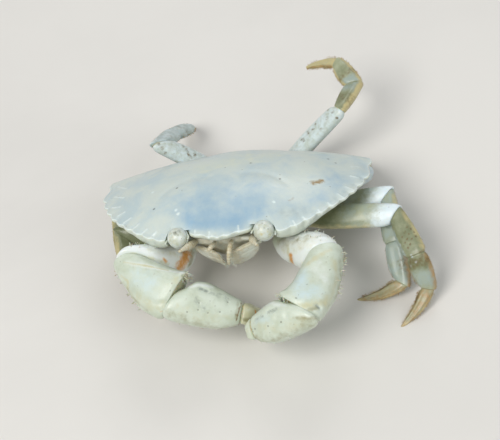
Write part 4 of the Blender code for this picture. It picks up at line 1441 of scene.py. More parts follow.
# Marks of each claw piece, placed on the photograph
CLAW_MARKS = {
    "left_merus": marks(
        Band(Tint.WHITE, 0.2, 1.1, 0.8, 0.2),
        # Painted shade: this olive stroke along the top of the merus is the shell margin's shadow.
        olive=[(1.1, 0.4, 280, 241, 294, 241, 308, 236)],
        cream=[(1.4, 0.4, 284, 247, 297, 247, 312, 240), (0.7, 0.6, 288, 253, 291, 263),
               (0.45, 0.7, 302, 266, 312, 257, 324, 249, 334, 247)],
        blue=[(1.0, 0.4, 315, 246, 328, 241)],
        rust=[(0.65, 0.9, 291, 256, 292, 262), *dots(0.22, 0.7, 306, 261, 305, 265, 310, 258)]),
    "left_carpus": marks(
        cream=[(0.55, 0.6, 306, 266, 318, 256, 330, 250),
               (0.9, 0.5, 335, 262, 337, 276, 334, 290, 326, 303),
               (1.0, 0.55, 296, 307, 310, 306, 322, 303), (0.25, 0.7, 293, 282, 279, 293)],
        olive=[(0.8, 0.38, 340, 262, 341, 278, 337, 294, 329, 307), (0.4, 0.5, 300, 312, 318, 308)],
        blue=[(2.0, 0.5, 300, 276, 303, 292, 314, 290)],
        white=[(1.6, 0.35, 318, 266, 324, 280)],
        grey=[(0.25, 0.8, 317, 305, 320, 308)],
        relief=[(0.4, -0.25, 317, 305, 320, 308), (0.5, -0.12, 300, 303, 312, 306, 324, 302)],
        brown=[(0.22, 0.7, 279, 296, 285, 300, 289, 308), *dots(0.2, 0.3, 300, 287, 322, 294, 326, 262)],
        dot=dots(0.11, 0.8, 296, 298, 307, 284, 330, 270, 311, 296)),
    "left_palm": marks(
        olive=[(1.3, 0.36, 256, 338, 276, 339, 296, 332, 312, 322), (0.4, 0.4, 294, 318, 316, 318)],
        cream=[(1.3, 0.35, 262, 328, 284, 329, 302, 320)],
        grey=[(0.42, 0.6, 268, 312, 275, 309), (0.45, 0.5, 254, 322, 262, 316)],
        relief=[(0.6, -0.22, 269, 312, 276, 309),
                *dots(0.5, -0.08, 264, 327, 276, 318, 286, 315, 272, 331)],
        white=[(0.6, 0.5, 262, 306, 272, 303, 284, 305)],
        blue=[(1.1, 0.4, 258, 320, 270, 320)],
        dot=dots(0.16, 0.85, 250, 333, 255, 329, 268, 326, 281, 322),
        brown=dots(0.3, 0.3, 247, 331, 290, 326, 300, 324)),
    "left_finger": marks(
        Band(Tint.CREAM, -0.1, 1.1, 0.3), Band(Tint.OLIVE, 0.6, 1.1, 0.3)),
    "right_merus": marks(
        Band(Tint.WHITE, 0.1, 1.1, 0.85, 0.2),
        # Painted shade: the first olive stroke, along the top of the merus under the shell margin, is the
        # margin's shadow.
        olive=[(0.6, 0.3, 146, 244, 160, 246, 178, 249), (0.9, 0.6, 192, 254, 190, 264)],
        cream=[(0.9, 0.3, 150, 250, 162, 251, 176, 255),
               (0.4, 0.6, 124, 255, 134, 254, 150, 258, 168, 264)],
        rust=[(1.35, 0.85, 186, 254, 184, 261, 180, 267), (0.35, 0.8, 164, 259, 166, 261)],
        blue=[(0.9, 0.4, 140, 250, 156, 254)]),
    "right_carpus": marks(
        white=[(0.5, 0.6, 126, 262, 150, 267, 184, 273)],
        cream=[(0.22, 0.8, 124, 262, 146, 266, 168, 270), (1.5, 0.4, 134, 298, 148, 305, 162, 306),
               (0.3, 0.7, 121, 276, 128, 282, 127, 290), (0.8, 0.4, 174, 276, 178, 286, 174, 298)],
        blue=[(2.6, 0.4, 138, 276, 150, 284)],
        # Painted shade: the olive stroke from 183, 276 and the brown stroke from 188, 276 darken the notch
        # behind the inner tooth; the brown is partly its bristles' own colour.
        olive=[(0.6, 0.35, 124, 284, 132, 298, 146, 309), (0.4, 0.5, 183, 276, 180, 284, 174, 292)],
        relief=[(0.35, -0.14, 121, 277, 129, 283, 127, 291), (0.4, -0.16, 148, 300, 156, 304, 166, 303)],
        brown=[(0.2, 0.7, 188, 276, 184, 284, 186, 291),
               *dots(0.22, 0.4, 154, 274, 172, 283, 160, 296, 146, 270)],
        rust=[(0.14, 0.4, 183, 297, 176, 303, 168, 309, 160, 312)],
        dot=dots(0.1, 0.8, 150, 279, 163, 277, 170, 291, 141, 290)),
    "right_palm": marks(
        olive=[(1.2, 0.36, 168, 313, 190, 322, 214, 328, 234, 326), (0.35, 0.5, 238, 303, 236, 318)],
        cream=[(1.3, 0.3, 178, 308, 200, 317, 228, 318)],
        white=[(0.5, 0.6, 190, 287, 199, 284, 212, 287)],
        grey=[(0.35, 0.65, 200, 288, 206, 290), (0.8, 0.35, 212, 292, 228, 299),
              (0.8, 0.35, 196, 300, 204, 308)],
        relief=[(0.5, -0.22, 201, 289, 207, 291),
                *dots(0.35, -0.12, 199, 303, 198, 310, 208, 313, 220, 312, 228, 302)],
        brown=[(0.13, 0.9, 241, 303, 238, 314, 236, 321), *dots(0.2, 0.5, 236, 315, 239, 308, 186, 299)],
        dot=[*dots(0.16, 0.7, 199, 303, 198, 310, 208, 313, 220, 312, 187, 312, 228, 302),
             *dots(0.11, 0.6, 193, 295, 215, 306, 224, 294, 210, 301, 231, 311)]),
    "right_finger": marks(
        Band(Tint.CREAM, -0.1, 1.1, 0.75),
        olive=[(0.4, 0.6, 240, 320, 252, 320)],
        rust=[(0.22, 0.8, 255, 311, 256, 315)],
        white=[(0.35, 0.5, 245, 308, 252, 311)]),
}

# Mm back along the hand and in from its outer side, for the fixed finger's curve
FIXED_ROOT = (1.6, 1.0)
FIXED_MIDDLE = (2.9, 2.4)
FIXED_TIP = 1.0
MOVING_SHIFT = 0.5
MERUS_BEND = 0.45
BALL = {"start_gap": -0.3 * MM}
CLAW_NODES = {"merus": "merus", "carpus": "carpus", "palm": "propodus", "finger": "dactyl"}
CLAW_FLUTES = {"merus": (), "carpus": (Flutes(6, 0.05, 0.5),), "palm": (), "finger": (Flutes(5, 0.09, 0.4),)}
CLAW_TUFTS = {
    "carpus": (Tuft(-1, (0.8, 0.97), (0.02, 0.6), 44, 0.65, (0, 0, 0.4)),
               Tuft(1, (0.5, 0.9), (0.97, math.inf), 46, 0.8)),
    "merus": (Tuft(1, (0.8, 0.97), (0.6, 0.97), 22, 0.6, (0, 0, 0.2)),),
    "palm": (Tuft(-1, (0.8, 0.97), (0.1, math.inf), 40, 0.3, (0, -0.2, -0.3)),),
}


@dataclass
class Claw:
    """One claw: merus, carpus, palm with its fixed finger, and moving finger."""

    side: str
    sides: int = 96
    rows: int = 84
    voxel: float = 0.14 * MM
    rounds: int = 7

    def points(self) -> dict[str, np.ndarray]:
        """Give the claw's joints in the model."""
        base = np.array((BODY_PLACE[0], BODY_PLACE[1], 0))
        points = {"coxa": body_to_model(mirrored(CLAW_COXA, self.side))}
        points |= {name: np.array(place) * MM + base for name, place in CLAW_JOINTS[self.side].items()}
        return points

    def sweeps(self) -> dict[str, Sweep]:
        """Give the sweep of each piece."""
        at = self.points()
        arm = unit(at["elbow"] - at["knuckle"])
        fore = unit(at["wrist"] - at["elbow"])
        hand = unit(at["palm_end"] - at["wrist"])
        elbow, wrist = unit(arm + fore), unit(fore * WRIST_SQUARENESS + hand)
        edge = np.array(PALM_UPPER_EDGE[self.side])
        towards = unit(edge - hand * (hand @ edge))
        outer = np.cross(hand, towards) * -SIDES[self.side]
        end, tip, reach = at["palm_end"], at["tip"], FINGER_REACH[self.side]
        knuckle = at["knuckle"]
        size = {"sides": self.sides, "rows": self.rows}
        socket = size | SOCKET
        return {
            "merus": Sweep([at["coxa"], knuckle, knuckle + (at["elbow"] - knuckle) * MERUS_BEND,
                            at["elbow"]],
                           np.array(MERUS_UPPER_EDGE[self.side]), CLAW_SECTIONS[f"{self.side}_merus"],
                           end_normal=elbow, **socket),
            "carpus": Sweep([at["elbow"], at["wrist"]], np.array(CARPUS_INNER_EDGE[self.side]),
                            CLAW_SECTIONS[f"{self.side}_carpus"], elbow, wrist, **socket, **BALL),
            "palm": Sweep([at["wrist"], at["palm_end"]], edge, CLAW_SECTIONS[f"{self.side}_palm"],
                          wrist, rounding=(0.8 * MM, 0.3 * MM), **size, **BALL),
            "fixed": Sweep([end - hand * FIXED_ROOT[0] * MM - outer * FIXED_ROOT[1] * MM,
                            end + hand * (reach - FIXED_MIDDLE[0] * MM) - outer * FIXED_MIDDLE[1] * MM,
                            tip - hand * FIXED_TIP * MM],
                           edge, CLAW_SECTIONS["fixed_finger"], rounding=(0.15 * MM, 0.3 * MM), **size),
            "finger": Sweep([end + outer * MOVING_SHIFT * MM, end + hand * reach + outer * MOVING_SHIFT * MM,
                             tip + hand * MOVING_SHIFT * MM], edge, CLAW_SECTIONS["moving_finger"],
                            rounding=(0.4 * MM, 0.3 * MM), start_gap=0.05 * MM, **size),
        }

    def fused_palm(self, palm: Sweep, fixed: Sweep) -> Surface:
        """Blend palm and fixed finger into one skin.

        Args:
            palm: The palm's sweep.
            fixed: The fixed finger's sweep.

        Returns:
            One closed skin with fields read from the palm's own frame.
        """
        skin = voxel_skin(palm.surface().join(fixed.surface()).to_object("palm_rough"), self.voxel,
                          self.rounds)
        start, end = np.asarray(palm.path[0]), np.asarray(palm.path[-1])
        _, tangent, upper, outer = (row[0] for row in palm.frames(np.array((0.5,))))
        local = skin.points - start
        angle = np.arctan2(local @ outer, local @ upper)
        skin.fields = {"u": local @ tangent / np.linalg.norm(end - start), "angle": angle,
                       "v": np.cos(angle)}
        return skin

    def build(self, shop: Workshop, bristles: BristleTree) -> None:
        """Make the claw's pieces, membranes and bristles."""
        sweeps = self.sweeps()
        name = f"{self.side}_claw"
        surfaces = {piece: sweeps[piece].surface() for piece in ("merus", "carpus", "finger")}
        surfaces["palm"] = self.fused_palm(sweeps["palm"], sweeps["fixed"])
        for piece, surface in surfaces.items():
            tints = dress(surface, CLAW_MARKS[f"{self.side}_{piece}"], CLAW_FLUTES[piece])
            skin = surface.to_object(f"{name}_{piece}_skin", tints)
            shop.hand_over(skin, CLAW_FINISH, "claw", f"{name}_{CLAW_NODES[piece]}")
        add_membranes(name, [sweeps[piece] for piece in CLAW_NODES], 0.35 * MM, 48, "claw", shop)
        roots = Roots(shop.rng)
        for piece, tufts in CLAW_TUFTS.items():
            roots.plant(surfaces[piece], *tufts)
        palm = surfaces["palm"]
        roots.add(palm, hump(palm.fields["u"], 0.98, 0.03), 26, 0.3, (0, 0, 0))
        bristles.grow(f"{name}_bristles", roots, shop, PALE_BRISTLE_FINISH, "claw", Thickness=0.1)


LEG_COXAE = {
    "leg_2": (0.190, -0.090, -0.116), "leg_3": (0.200, -0.010, -0.135),
    "leg_4": (0.175, 0.065, -0.130), "leg_5": (0.120, 0.140, -0.122),
}
# Length in mm, heading and slope in degrees of merus, carpus, propodus and dactyl
LEG_CHAINS = {
    ("left", "leg_2"): ((19.3, -9.3, 5.6), (8.0, -66, -17), (6.2, -69, -55), (7.2, -131, None)),
    ("left", "leg_3"): ((16.9, -3.5, 9.5), (8.3, -83, -21), (7.1, -82, -29), (7.6, -173, None)),
    ("left", "leg_4"): ((14.3, 18, 2), (5.1, 110, -36), (4.7, 150, -9), (6.3, 172, None)),
    ("left", "leg_5"): ((18.3, 40.6, 27.7), (6.7, 69, -4), (5.9, 124, 12), (7.3, 159, -22)),
    ("right", "leg_2"): ((11.5, -5.8, 1.1), (7.0, -104, -28), (5.2, -121, -35), (6.2, -172, None)),
    ("right", "leg_3"): ((13.1, 8, 1), (6.8, -100, -26), (4.8, -124, -17), (6.3, -168, None)),
    ("right", "leg_4"): ((14.5, 16, -1), (5.4, 105, -24), (5.1, 144, -8), (6.2, 175, None)),
    ("right", "leg_5"): ((14.3, 40, 29), (6.6, 101, -32), (5.8, 112, -35), (5.9, 74, None)),
}
LEG_UPPER_EDGE = {
    ("left", "leg_2"): (0.1, 0.85, 0.5), ("left", "leg_3"): (0.1, 0.85, 0.5),
    ("left", "leg_4"): (0, 0.1, 1), ("left", "leg_5"): (0.6, -0.75, 0.1),
    ("right", "leg_2"): (0, 0.6, 0.8), ("right", "leg_3"): (0, 0.5, 0.85),
    ("right", "leg_4"): (0, 0.1, 1), ("right", "leg_5"): (0.6, -0.75, 0.3),
}
REAR_LEG_SAG = {"left": (-4.6, 4.4, -5.0), "right": (-5.0, 5.8, -6.2)}
# Place along, half height and half thickness in mm
LEG_SECTIONS = {
    "merus": ((0, 1.15, 0.8), (0.14, 1.5, 1.0), (0.4, 2.15, 1.2), (0.75, 2.1, 1.25), (0.93, 1.95, 1.2),
              (1, 1.6, 1.05)),
    "carpus": ((0, 1.35, 0.95), (0.15, 1.55, 1.05), (0.6, 1.95, 1.15), (0.88, 1.9, 1.1), (1, 1.6, 0.95)),
    "propodus": ((0, 1.5, 0.9), (0.15, 1.8, 1.0), (0.5, 1.9, 1.0), (0.85, 1.55, 0.9), (1, 1.2, 0.8)),
    "dactyl": ((0, 1.05, 0.7), (0.15, 1.1, 0.75), (0.45, 0.9, 0.6), (0.75, 0.6, 0.45), (1, 0.3, 0.27)),
}
LEG_SOCKET = {"end_gap": -0.04 * MM, "rounding": (0.4 * MM, 0.1 * MM), "dish": (0.0, 0.4 * MM)}
LEG_DEPTH = {"leg_2": 1.0, "leg_3": 1.0, "leg_4": 0.95, "leg_5": 0.9}
LEG_BALL_GAP = -0.12 * MM
DACTYL_END = {"rounding": (0.35 * MM, 0.12 * MM), "end_gap": GAP / 2, "dish": (0.0, 0.0)}
REAR_MERUS_END = {"rounding": (0.4 * MM, 0.7 * MM), "dish": (0.0, 0.2 * MM)}
DACTYL_BOW = 0.5 * MM
REAR_KNEE_SQUARENESS = 2.6
LEG_MARKS = {
    "merus": marks(
        # Painted shade: the olive band towards the body is partly the merus's own olive and partly shade
        # near the body.
        Band(Tint.OLIVE, -0.3, 0.6, 0.7, 0.35), Band(Tint.WHITE, 0.82, 1.2, 0.95, 0.16),
        Band(Tint.CREAM, 0.1, 0.95, 0.5, edge=-1), Band(Tint.BLUE, 0.5, 0.9, 0.4, 0.1)),
    "carpus": marks(
        Band(Tint.OLIVE, -0.1, 1.1, 0.6, 0.2), Band(Tint.BLUE, 0.1, 0.95, 0.7, edge=-1),
        Band(Tint.BROWN, 0.93, 1.1, 0.5, 0.04), Band(Tint.CREAM, 0.1, 1.1, 0.6, edge=1)),
    "propodus": marks(
        Band(Tint.OLIVE, -0.1, 0.5, 0.5, 0.15), Band(Tint.BLUE, 0.35, 0.95, 0.6, 0.15),
        Band(Tint.BROWN, 0.06, 0.33, 0.45, 0.1), Band(Tint.RUST, 0.05, 1.1, 0.6, edge=1),
        Band(Tint.RUST, 0.1, 1.1, 0.5, edge=-1)),
    "dactyl": marks(
        Band(Tint.RUST, -0.1, 1.1, 0.45, 0.2), Band(Tint.CREAM, 0.1, 1.1, 0.7, edge=1),
        Band(Tint.BROWN, 0.1, 0.9, 0.5, edge=-1), Band(Tint.CREAM, 0.85, 1.2, 0.6)),
    # Painted shade: this merus lies in shadow under the shell, so it is olive all over.
    ("right", "leg_2", "merus"): marks(
        Band(Tint.OLIVE, -0.3, 1.2, 0.7, 0.2)),
    ("left", "leg_3", "carpus"): marks(
        Band(Tint.BLUE, 0.0, 1.1, 0.6, 0.1), Band(Tint.CREAM, 0.1, 1.1, 0.5, edge=1)),
    ("left", "leg_2", "carpus"): marks(
        Band(Tint.OLIVE, -0.1, 1.1, 0.5, 0.2), Band(Tint.BLUE, 0.25, 0.95, 0.8, edge=-1),
        Band(Tint.CREAM, 0.1, 1.1, 0.6, edge=1), Band(Tint.BROWN, 0.95, 1.1, 0.4, 0.04),
        brown=dots(0.2, 1.0, 407, 227, 411, 229, 405, 232, 409, 234, 414, 232, 402, 237, 407, 239,
                   412, 239, 416, 236, 405, 243, 410, 244, 408, 248),
        white=dots(0.25, 0.5, 400, 245, 403, 252, 411, 255)),
    ("left", "leg_2", "propodus"): marks(
        Band(Tint.OLIVE, -0.1, 0.5, 0.5, 0.15), Band(Tint.BLUE, 0.4, 0.95, 0.65, 0.15),
        Band(Tint.BROWN, 0.05, 0.36, 0.45, 0.1), Band(Tint.RUST, 0.05, 1.1, 0.6, edge=1),
        Band(Tint.RUST, 0.3, 1.1, 0.4, edge=-1),
        white=dots(0.22, 0.7, 412, 257, 416, 262, 411, 266)),
    ("left", "leg_3", "propodus"): marks(
        Band(Tint.BLUE, -0.1, 1.0, 0.7, 0.1), Band(Tint.RUST, 0.3, 1.1, 0.6, edge=1),
        Band(Tint.WHITE, 0.1, 0.9, 0.4, edge=-1),
        brown=[(0.9, 0.45, 401, 262, 404, 268)]),
    ("left", "leg_5", "merus"): marks(
        Band(Tint.WHITE, -0.2, 1.2, 0.6, 0.1), Band(Tint.BLUE, 0.3, 0.9, 0.3, 0.1),
        brown=dots(0.3, 0.8, 305, 129, 313, 129, 316, 123, 333, 112, 328, 110, 299, 137, 303, 141,
                   321, 129, 327, 118, 337, 118, 308, 134)),
    ("left", "leg_5", "carpus"): marks(
        Band(Tint.OLIVE, -0.2, 1.2, 0.45, 0.2), Band(Tint.BLUE, 0.55, 0.95, 0.5, 0.15),
        Band(Tint.BROWN, 0.2, 0.5, 0.35, 0.15), Band(Tint.CREAM, -0.1, 1.1, 0.9, edge=1),
        Band(Tint.CREAM, -0.1, 1.1, 0.9, edge=-1)),
    ("left", "leg_5", "propodus"): marks(
        Band(Tint.BLUE, 0.0, 0.3, 0.7, 0.1), Band(Tint.BROWN, 0.3, 0.48, 0.45, 0.1),
        Band(Tint.OLIVE, 0.35, 0.75, 0.4, 0.2), Band(Tint.CREAM, 0.0, 1.1, 0.9, edge=1),
        Band(Tint.CREAM, 0.0, 1.1, 0.9, edge=-1)),
    ("left", "leg_5", "dactyl"): marks(
        Band(Tint.CREAM, -0.1, 1.2, 0.7), Band(Tint.RUST, 0.0, 1.1, 0.6, edge=-1)),
    ("right", "leg_5", "merus"): marks(
        Band(Tint.WHITE, 0.0, 1.2, 0.6, 0.2), Band(Tint.BLUE, 0.4, 0.9, 0.3, 0.1),
        brown=dots(0.34, 0.8, 162, 148, 165, 153, 187, 150, 183, 146, 195, 155, 191, 157, 159, 144,
                   188, 154)),
    ("right", "leg_5", "carpus"): marks(
        # Painted light: the white band lifts the shaded underside of this carpus.
        Band(Tint.BLUE, -0.2, 1.2, 0.9, 0.1), Band(Tint.WHITE, -0.2, 1.2, 0.45, 0.1),
        Band(Tint.BROWN, 0.3, 0.5, 0.2)),
    ("right", "leg_5", "propodus"): marks(
        Band(Tint.BLUE, -0.2, 1.2, 0.85, 0.1), Band(Tint.WHITE, -0.2, 1.2, 0.4, 0.1),
        Band(Tint.BROWN, 0.3, 0.5, 0.3)),
}
LEG_FLUTES = {"merus": (), "carpus": (Flutes(6, 0.06, 0.3),), "propodus": (Flutes(6, 0.07),),
              "dactyl": (Flutes(6, 0.07),)}
LEG_TUFTS = {"merus": (40, 20, 0.22), "carpus": (50, 30, 0.3), "propodus": (110, 90, 0.34),
             "dactyl": (90, 150, 0.46)}


@dataclass
class WalkingLeg:
    """One walking leg: merus, carpus, propodus and dactyl."""

    side: str
    leg: str
    sides: int = 48
    rows: int = 52
    floor_reach: float = 1 * MM

    def direction(self, heading: float, slope: float) -> np.ndarray:
        """Give the direction at a heading from straight out sideways and a slope, in degrees."""
        turn, rise = math.radians(heading), math.radians(slope)
        flat = math.cos(rise)
        return np.array((SIDES[self.side] * math.cos(turn) * flat, math.sin(turn) * flat, math.sin(rise)))

    def points(self) -> list[np.ndarray]:
        """Give the leg's five joints in the model."""
        points = [body_to_model(mirrored(LEG_COXAE[self.leg], self.side))]
        for length, heading, slope in LEG_CHAINS[self.side, self.leg]:
            if slope is None:
                slope = -math.degrees(math.asin(points[-1][2] / (length * MM)))
            points.append(points[-1] + self.direction(heading, slope) * length * MM)
        return points

    def sweeps(self) -> dict[str, Sweep]:
        """Give the sweep of each piece."""
        points = self.points()
        chords = [unit(b - a) for a, b in zip(points, points[1:])]
        knee = REAR_KNEE_SQUARENESS if self.leg == "leg_5" else 1.0
        cuts = [unit(a * share + b) for a, b, share in zip(chords, chords[1:], (knee, 1.0, 1.0))]
        upper = mirrored(LEG_UPPER_EDGE[self.side, self.leg], self.side)
        made = {}
        for k, (piece, sections) in enumerate(LEG_SECTIONS.items()):
            chord = chords[k]
            if k:
                turn = Vector(chords[k - 1]).rotation_difference(Vector(chord))
                upper = np.array(turn @ Vector(upper))
            edge, upper = upper, unit(upper - chord * (chord @ upper))
            a, b = points[k], points[k + 1]
            path = [a, a + (b - a) * 0.33, a + (b - a) * 0.67, b]
            shape = dict(LEG_SOCKET)
            if k:
                shape |= {"start_normal": cuts[k - 1], "start_gap": LEG_BALL_GAP}
                edge = upper
            if piece == "dactyl":
                path = [a, path[1] + upper * DACTYL_BOW, path[2] + upper * DACTYL_BOW, b]
                shape |= DACTYL_END
                if b[2] < self.floor_reach:
                    shape |= {"end_normal": np.array((0, 0, -1.0)), "end_gap": 0.0}
            else:
                shape["end_normal"] = cuts[k]
            if piece == "merus" and self.leg == "leg_5":
                sag = mirrored(REAR_LEG_SAG[self.side], self.side) * MM
                path = [a, a + (b - a) * 0.3 + sag, a + (b - a) * 0.62 + sag * 0.45, b]
                shape |= REAR_MERUS_END
            depth = LEG_DEPTH[self.leg]
            rows = tuple((t, high * depth, high * depth, out) for t, high, out in sections)
            made[piece] = Sweep(path, edge, rows, sides=self.sides, rows=self.rows, **shape)
        return made

    def build(self, shop: Workshop, bristles: BristleTree) -> None:
        """Make the leg's pieces, membranes and bristles."""
        sweeps = self.sweeps()
        name = f"{self.side}_{self.leg}"
        roots = Roots(shop.rng)
        for piece, sweep in sweeps.items():
            surface = sweep.surface()
            tints = dress(surface, LEG_MARKS.get((self.side, self.leg, piece), LEG_MARKS[piece]),
                          LEG_FLUTES[piece])
            skin = surface.to_object(f"{name}_{piece}_skin", tints)
            shop.hand_over(skin, LEG_FINISH, "leg", f"{name}_{piece}")
            forward = unit(np.asarray(sweep.path[-1]) - np.asarray(sweep.path[0])) * 1.1
            *counts, length = LEG_TUFTS[piece]
            roots.plant(surface, *(Tuft(edge, (0.86, 0.98), (0.08, 0.93), count, length, forward)
                                   for edge, count in zip((1, -1), counts)))
        add_membranes(name, list(sweeps.values()), 0.3 * MM, 32, "leg", shop)
        bristles.grow(f"{name}_bristles", roots, shop, BRISTLE_FINISH, "leg", Thickness=0.05, Spread=0.18)


# Pixel, half width and half height in mm
FACE_LOBES = (
    ((246, 237.5), 0.95, 0.42), ((257.5, 241.5), 0.75, 0.32), ((189, 241), 0.85, 0.75),
    ((183, 246.5), 0.8, 0.36),
)
# Height along the eye's axis and half width, in parts of which 1.25 are the eye's radius
EYE_UNITS = 1.25
EYE_PROFILE = (
    (-1.25, 0.35), (-1.1, 0.60), (-0.95, 0.80), (-0.8, 0.98), (-0.66, 1.12), (-0.5, 1.22), (-0.36, 1.26),
    (-0.24, 1.25), (-0.15, 1.17), (0.0, 1.19), (0.3, 1.13), (0.58, 0.99), (0.78, 0.81), (0.93, 0.59),
    (1.02, 0.37), (1.06, 0.17), (1.07, 0.04),
)
EYE_BANDS = (Band(Tint.BROWN, 0.475, 0.515, 0.75, 0.015), Band(Tint.WHITE, 0.36, 0.47, 0.8, 0.02),
             Band(Tint.CREAM, -0.1, 0.34, 0.8), Band(Tint.WHITE, 0.54, 0.66, 0.4, 0.05))
ORBIT_CORNERS = ((-1, -0.5), (-1.06, 1.32), (1.06, 1.32), (1, -0.6))
ORBIT_SECTIONS = ((0, 0.15, 0.15, 0.15), (0.2, 0.2, 0.3, 0.2), (0.8, 0.2, 0.3, 0.2), (1, 0.15, 0.15, 0.15))
FEELER_ROUNDING = (0.08 * MM, 0.16 * MM)
MOUTH_PLATE_PATH = ((0.066, -0.345, -0.074), (0.066, -0.331, -0.105), (0.058, -0.298, -0.152),
                    (0.045, -0.235, -0.188))
MOUTH_PLATE_SECTIONS = ((0, 2.1, 2.1, 0.35), (0.2, 2.7, 2.7, 0.42), (0.6, 2.5, 2.5, 0.42),
                        (1, 1.3, 1.3, 0.35))
MOUTH_LEAN = (0, -0.3, -0.6)
MOUTH_TUFTS = (Tuft(-1, (0.8, 0.97), (-math.inf, math.inf), 90, 0.55, MOUTH_LEAN),
               Tuft(1, (0.85, 0.97), (-math.inf, math.inf), 50, 0.45, MOUTH_LEAN))


@dataclass
class Face:
    """Eyes, feelers, mouth plates and the lobes beside the orbits."""

    eye_place: Point = (0.154, -0.361, -0.013)
    eye_radius: float = 1.79
    eye_rows: int = 64
    eye_sides: int = 72
    eye_axis: Point = (0.16, -0.80, 0.55)
    antennules: tuple = (
        ("left", ((0.030, -0.339, -0.056), (0.030, -0.390, -0.048), (0.018, -0.400, -0.088),
                  (0.013, -0.376, -0.128))),
        ("right", ((0.030, -0.339, -0.056), (0.034, -0.395, -0.040), (0.044, -0.392, -0.058),
                   (0.050, -0.372, -0.066))))
    orbit_rim: float = 0.0412
    orbit_drop: float = 0.006
    antenna: tuple = ((0.105, -0.329, -0.052), (0.110, -0.385, -0.040), (0.122, -0.410, -0.030),
                      (0.140, -0.436, -0.030))

    def eye(self, side: str, shop: Workshop) -> None:
        """Make the eye: a domed ball with a ring at its foot, on a short stalk."""
        centre = body_to_model(mirrored(self.eye_place, side))
        tip = body_to_model(mirrored(np.array(self.eye_place) + np.array(self.eye_axis) * 0.01, side))
        axis = unit(tip - centre)
        across = unit(np.cross(axis, (0, 0, 1)))
        other = np.cross(axis, across)
        table = np.array(EYE_PROFILE) * self.eye_radius / EYE_UNITS * MM
        t, place = np.linspace(0, 1, self.eye_rows), np.linspace(0, 1, len(table))
        height, width = (table_curve(t, place, table[:, k]) for k in range(2))
        angle = 2 * np.pi * np.arange(self.eye_sides) / self.eye_sides
        around = np.cos(angle)[:, None] * across + np.sin(angle)[:, None] * other
        rings = centre + height[:, None, None] * axis + width[:, None, None] * around
        u = np.repeat(t[:, None], self.eye_sides, axis=1)
        surface = ring_surface(rings, {"u": u, "v": u})
        tints = dress(surface, EYE_BANDS + EYE_MARKS[side])
        shop.hand_over(surface.to_object(f"eye_{side}_ball", tints), EYE_FINISH, "eye", f"eye_{side}")

    def orbit(self, side: str, shop: Workshop) -> None:
        """Make the raised pale rim that lines the orbit behind the eye."""
        shell = Carapace()
        centre, reach = np.array(shell.orbit_centre), self.orbit_rim
        path = []
        for corner in ORBIT_CORNERS:
            x, y = centre + np.array(corner) * reach
            height = shell.margin_height(x) - self.orbit_drop
            path.append(body_to_model(mirrored((x, y, height), side)))
        upwards = body_to_model(np.array((0, 0, 1.0))) - body_to_model(np.zeros(3))
        surface = Sweep(path, upwards, ORBIT_SECTIONS, start_gap=0.0, end_gap=0.0, sides=24, rows=72,
                        rounding=(0.12 * MM, 0.12 * MM), power=2.0).surface()
        tints = {"grey": 0.4 * smooth_step(-surface.fields["v"], -0.2, 0.6),
                 "cream": np.full(len(surface.points), 0.8)}
        shop.hand_over(surface.to_object(f"orbit_{side}_rim", tints), SHELL_FINISH, "shell")

    def feeler(self, name: str, path: tuple, sizes: tuple, ringed: float, side: str,
               shop: Workshop) -> None:
        """Make one feeler.

        Args:
            name: Which feeler it is.
            path: Control points of its curve on the left side.
            sizes: Its half width at its root, at 0.3 and 0.7 of its length, and at its tip, in mm.
            ringed: Depth of its rings in mm.
            side: The crab's side.
            shop: The workshop that takes the piece.
        """
        places = [body_to_model(mirrored(point, side)) for point in path]
        rows = tuple((t, size, size, size) for t, size in zip((0, 0.3, 0.7, 1), sizes))
        surface = Sweep(places, np.array((SIDES[side], 0, 0)), rows, sides=20, rows=90,
                        rounding=FEELER_ROUNDING, power=2.0).surface()
        u = surface.fields["u"]
        rings = np.abs(np.sin(np.pi * u * 9)) ** 0.4
        surface.push((rings - 1) * ringed * MM * smooth_step(u, 0.1, 0.35))
        tints = {"white": 0.45 * rings, "cream": np.full(len(u), 0.5),
                 "dot": 4 * ringed * (1 - rings) * smooth_step(u, 0.3, 0.5)}
        shop.hand_over(surface.to_object(f"{name}_{side}_skin", tints), UNDERSIDE_FINISH, "underside",
                       f"{name}_{side}")

    def mouth_plate(self, side: str, shop: Workshop, roots: Roots) -> None:
        """Make one outer mouth plate with its ridge."""
        path = [body_to_model(mirrored(point, side)) for point in MOUTH_PLATE_PATH]
        surface = Sweep(path, mirrored((1, 0.5, 0.2), side), MOUTH_PLATE_SECTIONS, sides=72, rows=70,
                        rounding=(0.3 * MM, 0.25 * MM), power=2.6).surface()
        u, v = surface.fields["u"], surface.fields["v"]
        groove = hump(v, -0.35, 0.13) * smooth_step(u, 0.0, 0.1)
        joint = hump(u, 0.30, 0.025)
        surface.push((-0.12 * groove - 0.16 * joint) * MM)
        ridge = hump(v, 0.25, 0.4) * smooth_step(u, 0.0, 0.2)
        tints = {"white": 0.4 + 0.5 * ridge, "brown": 0.3 * np.maximum(groove, joint)}
        shop.hand_over(surface.to_object(f"maxilliped_{side}_skin", tints), UNDERSIDE_FINISH, "underside",
                       f"maxilliped_{side}")
        roots.plant(surface, *MOUTH_TUFTS)
        roots.add(surface, hump(u, 0.05, 0.06), 40, 0.4, MOUTH_LEAN)

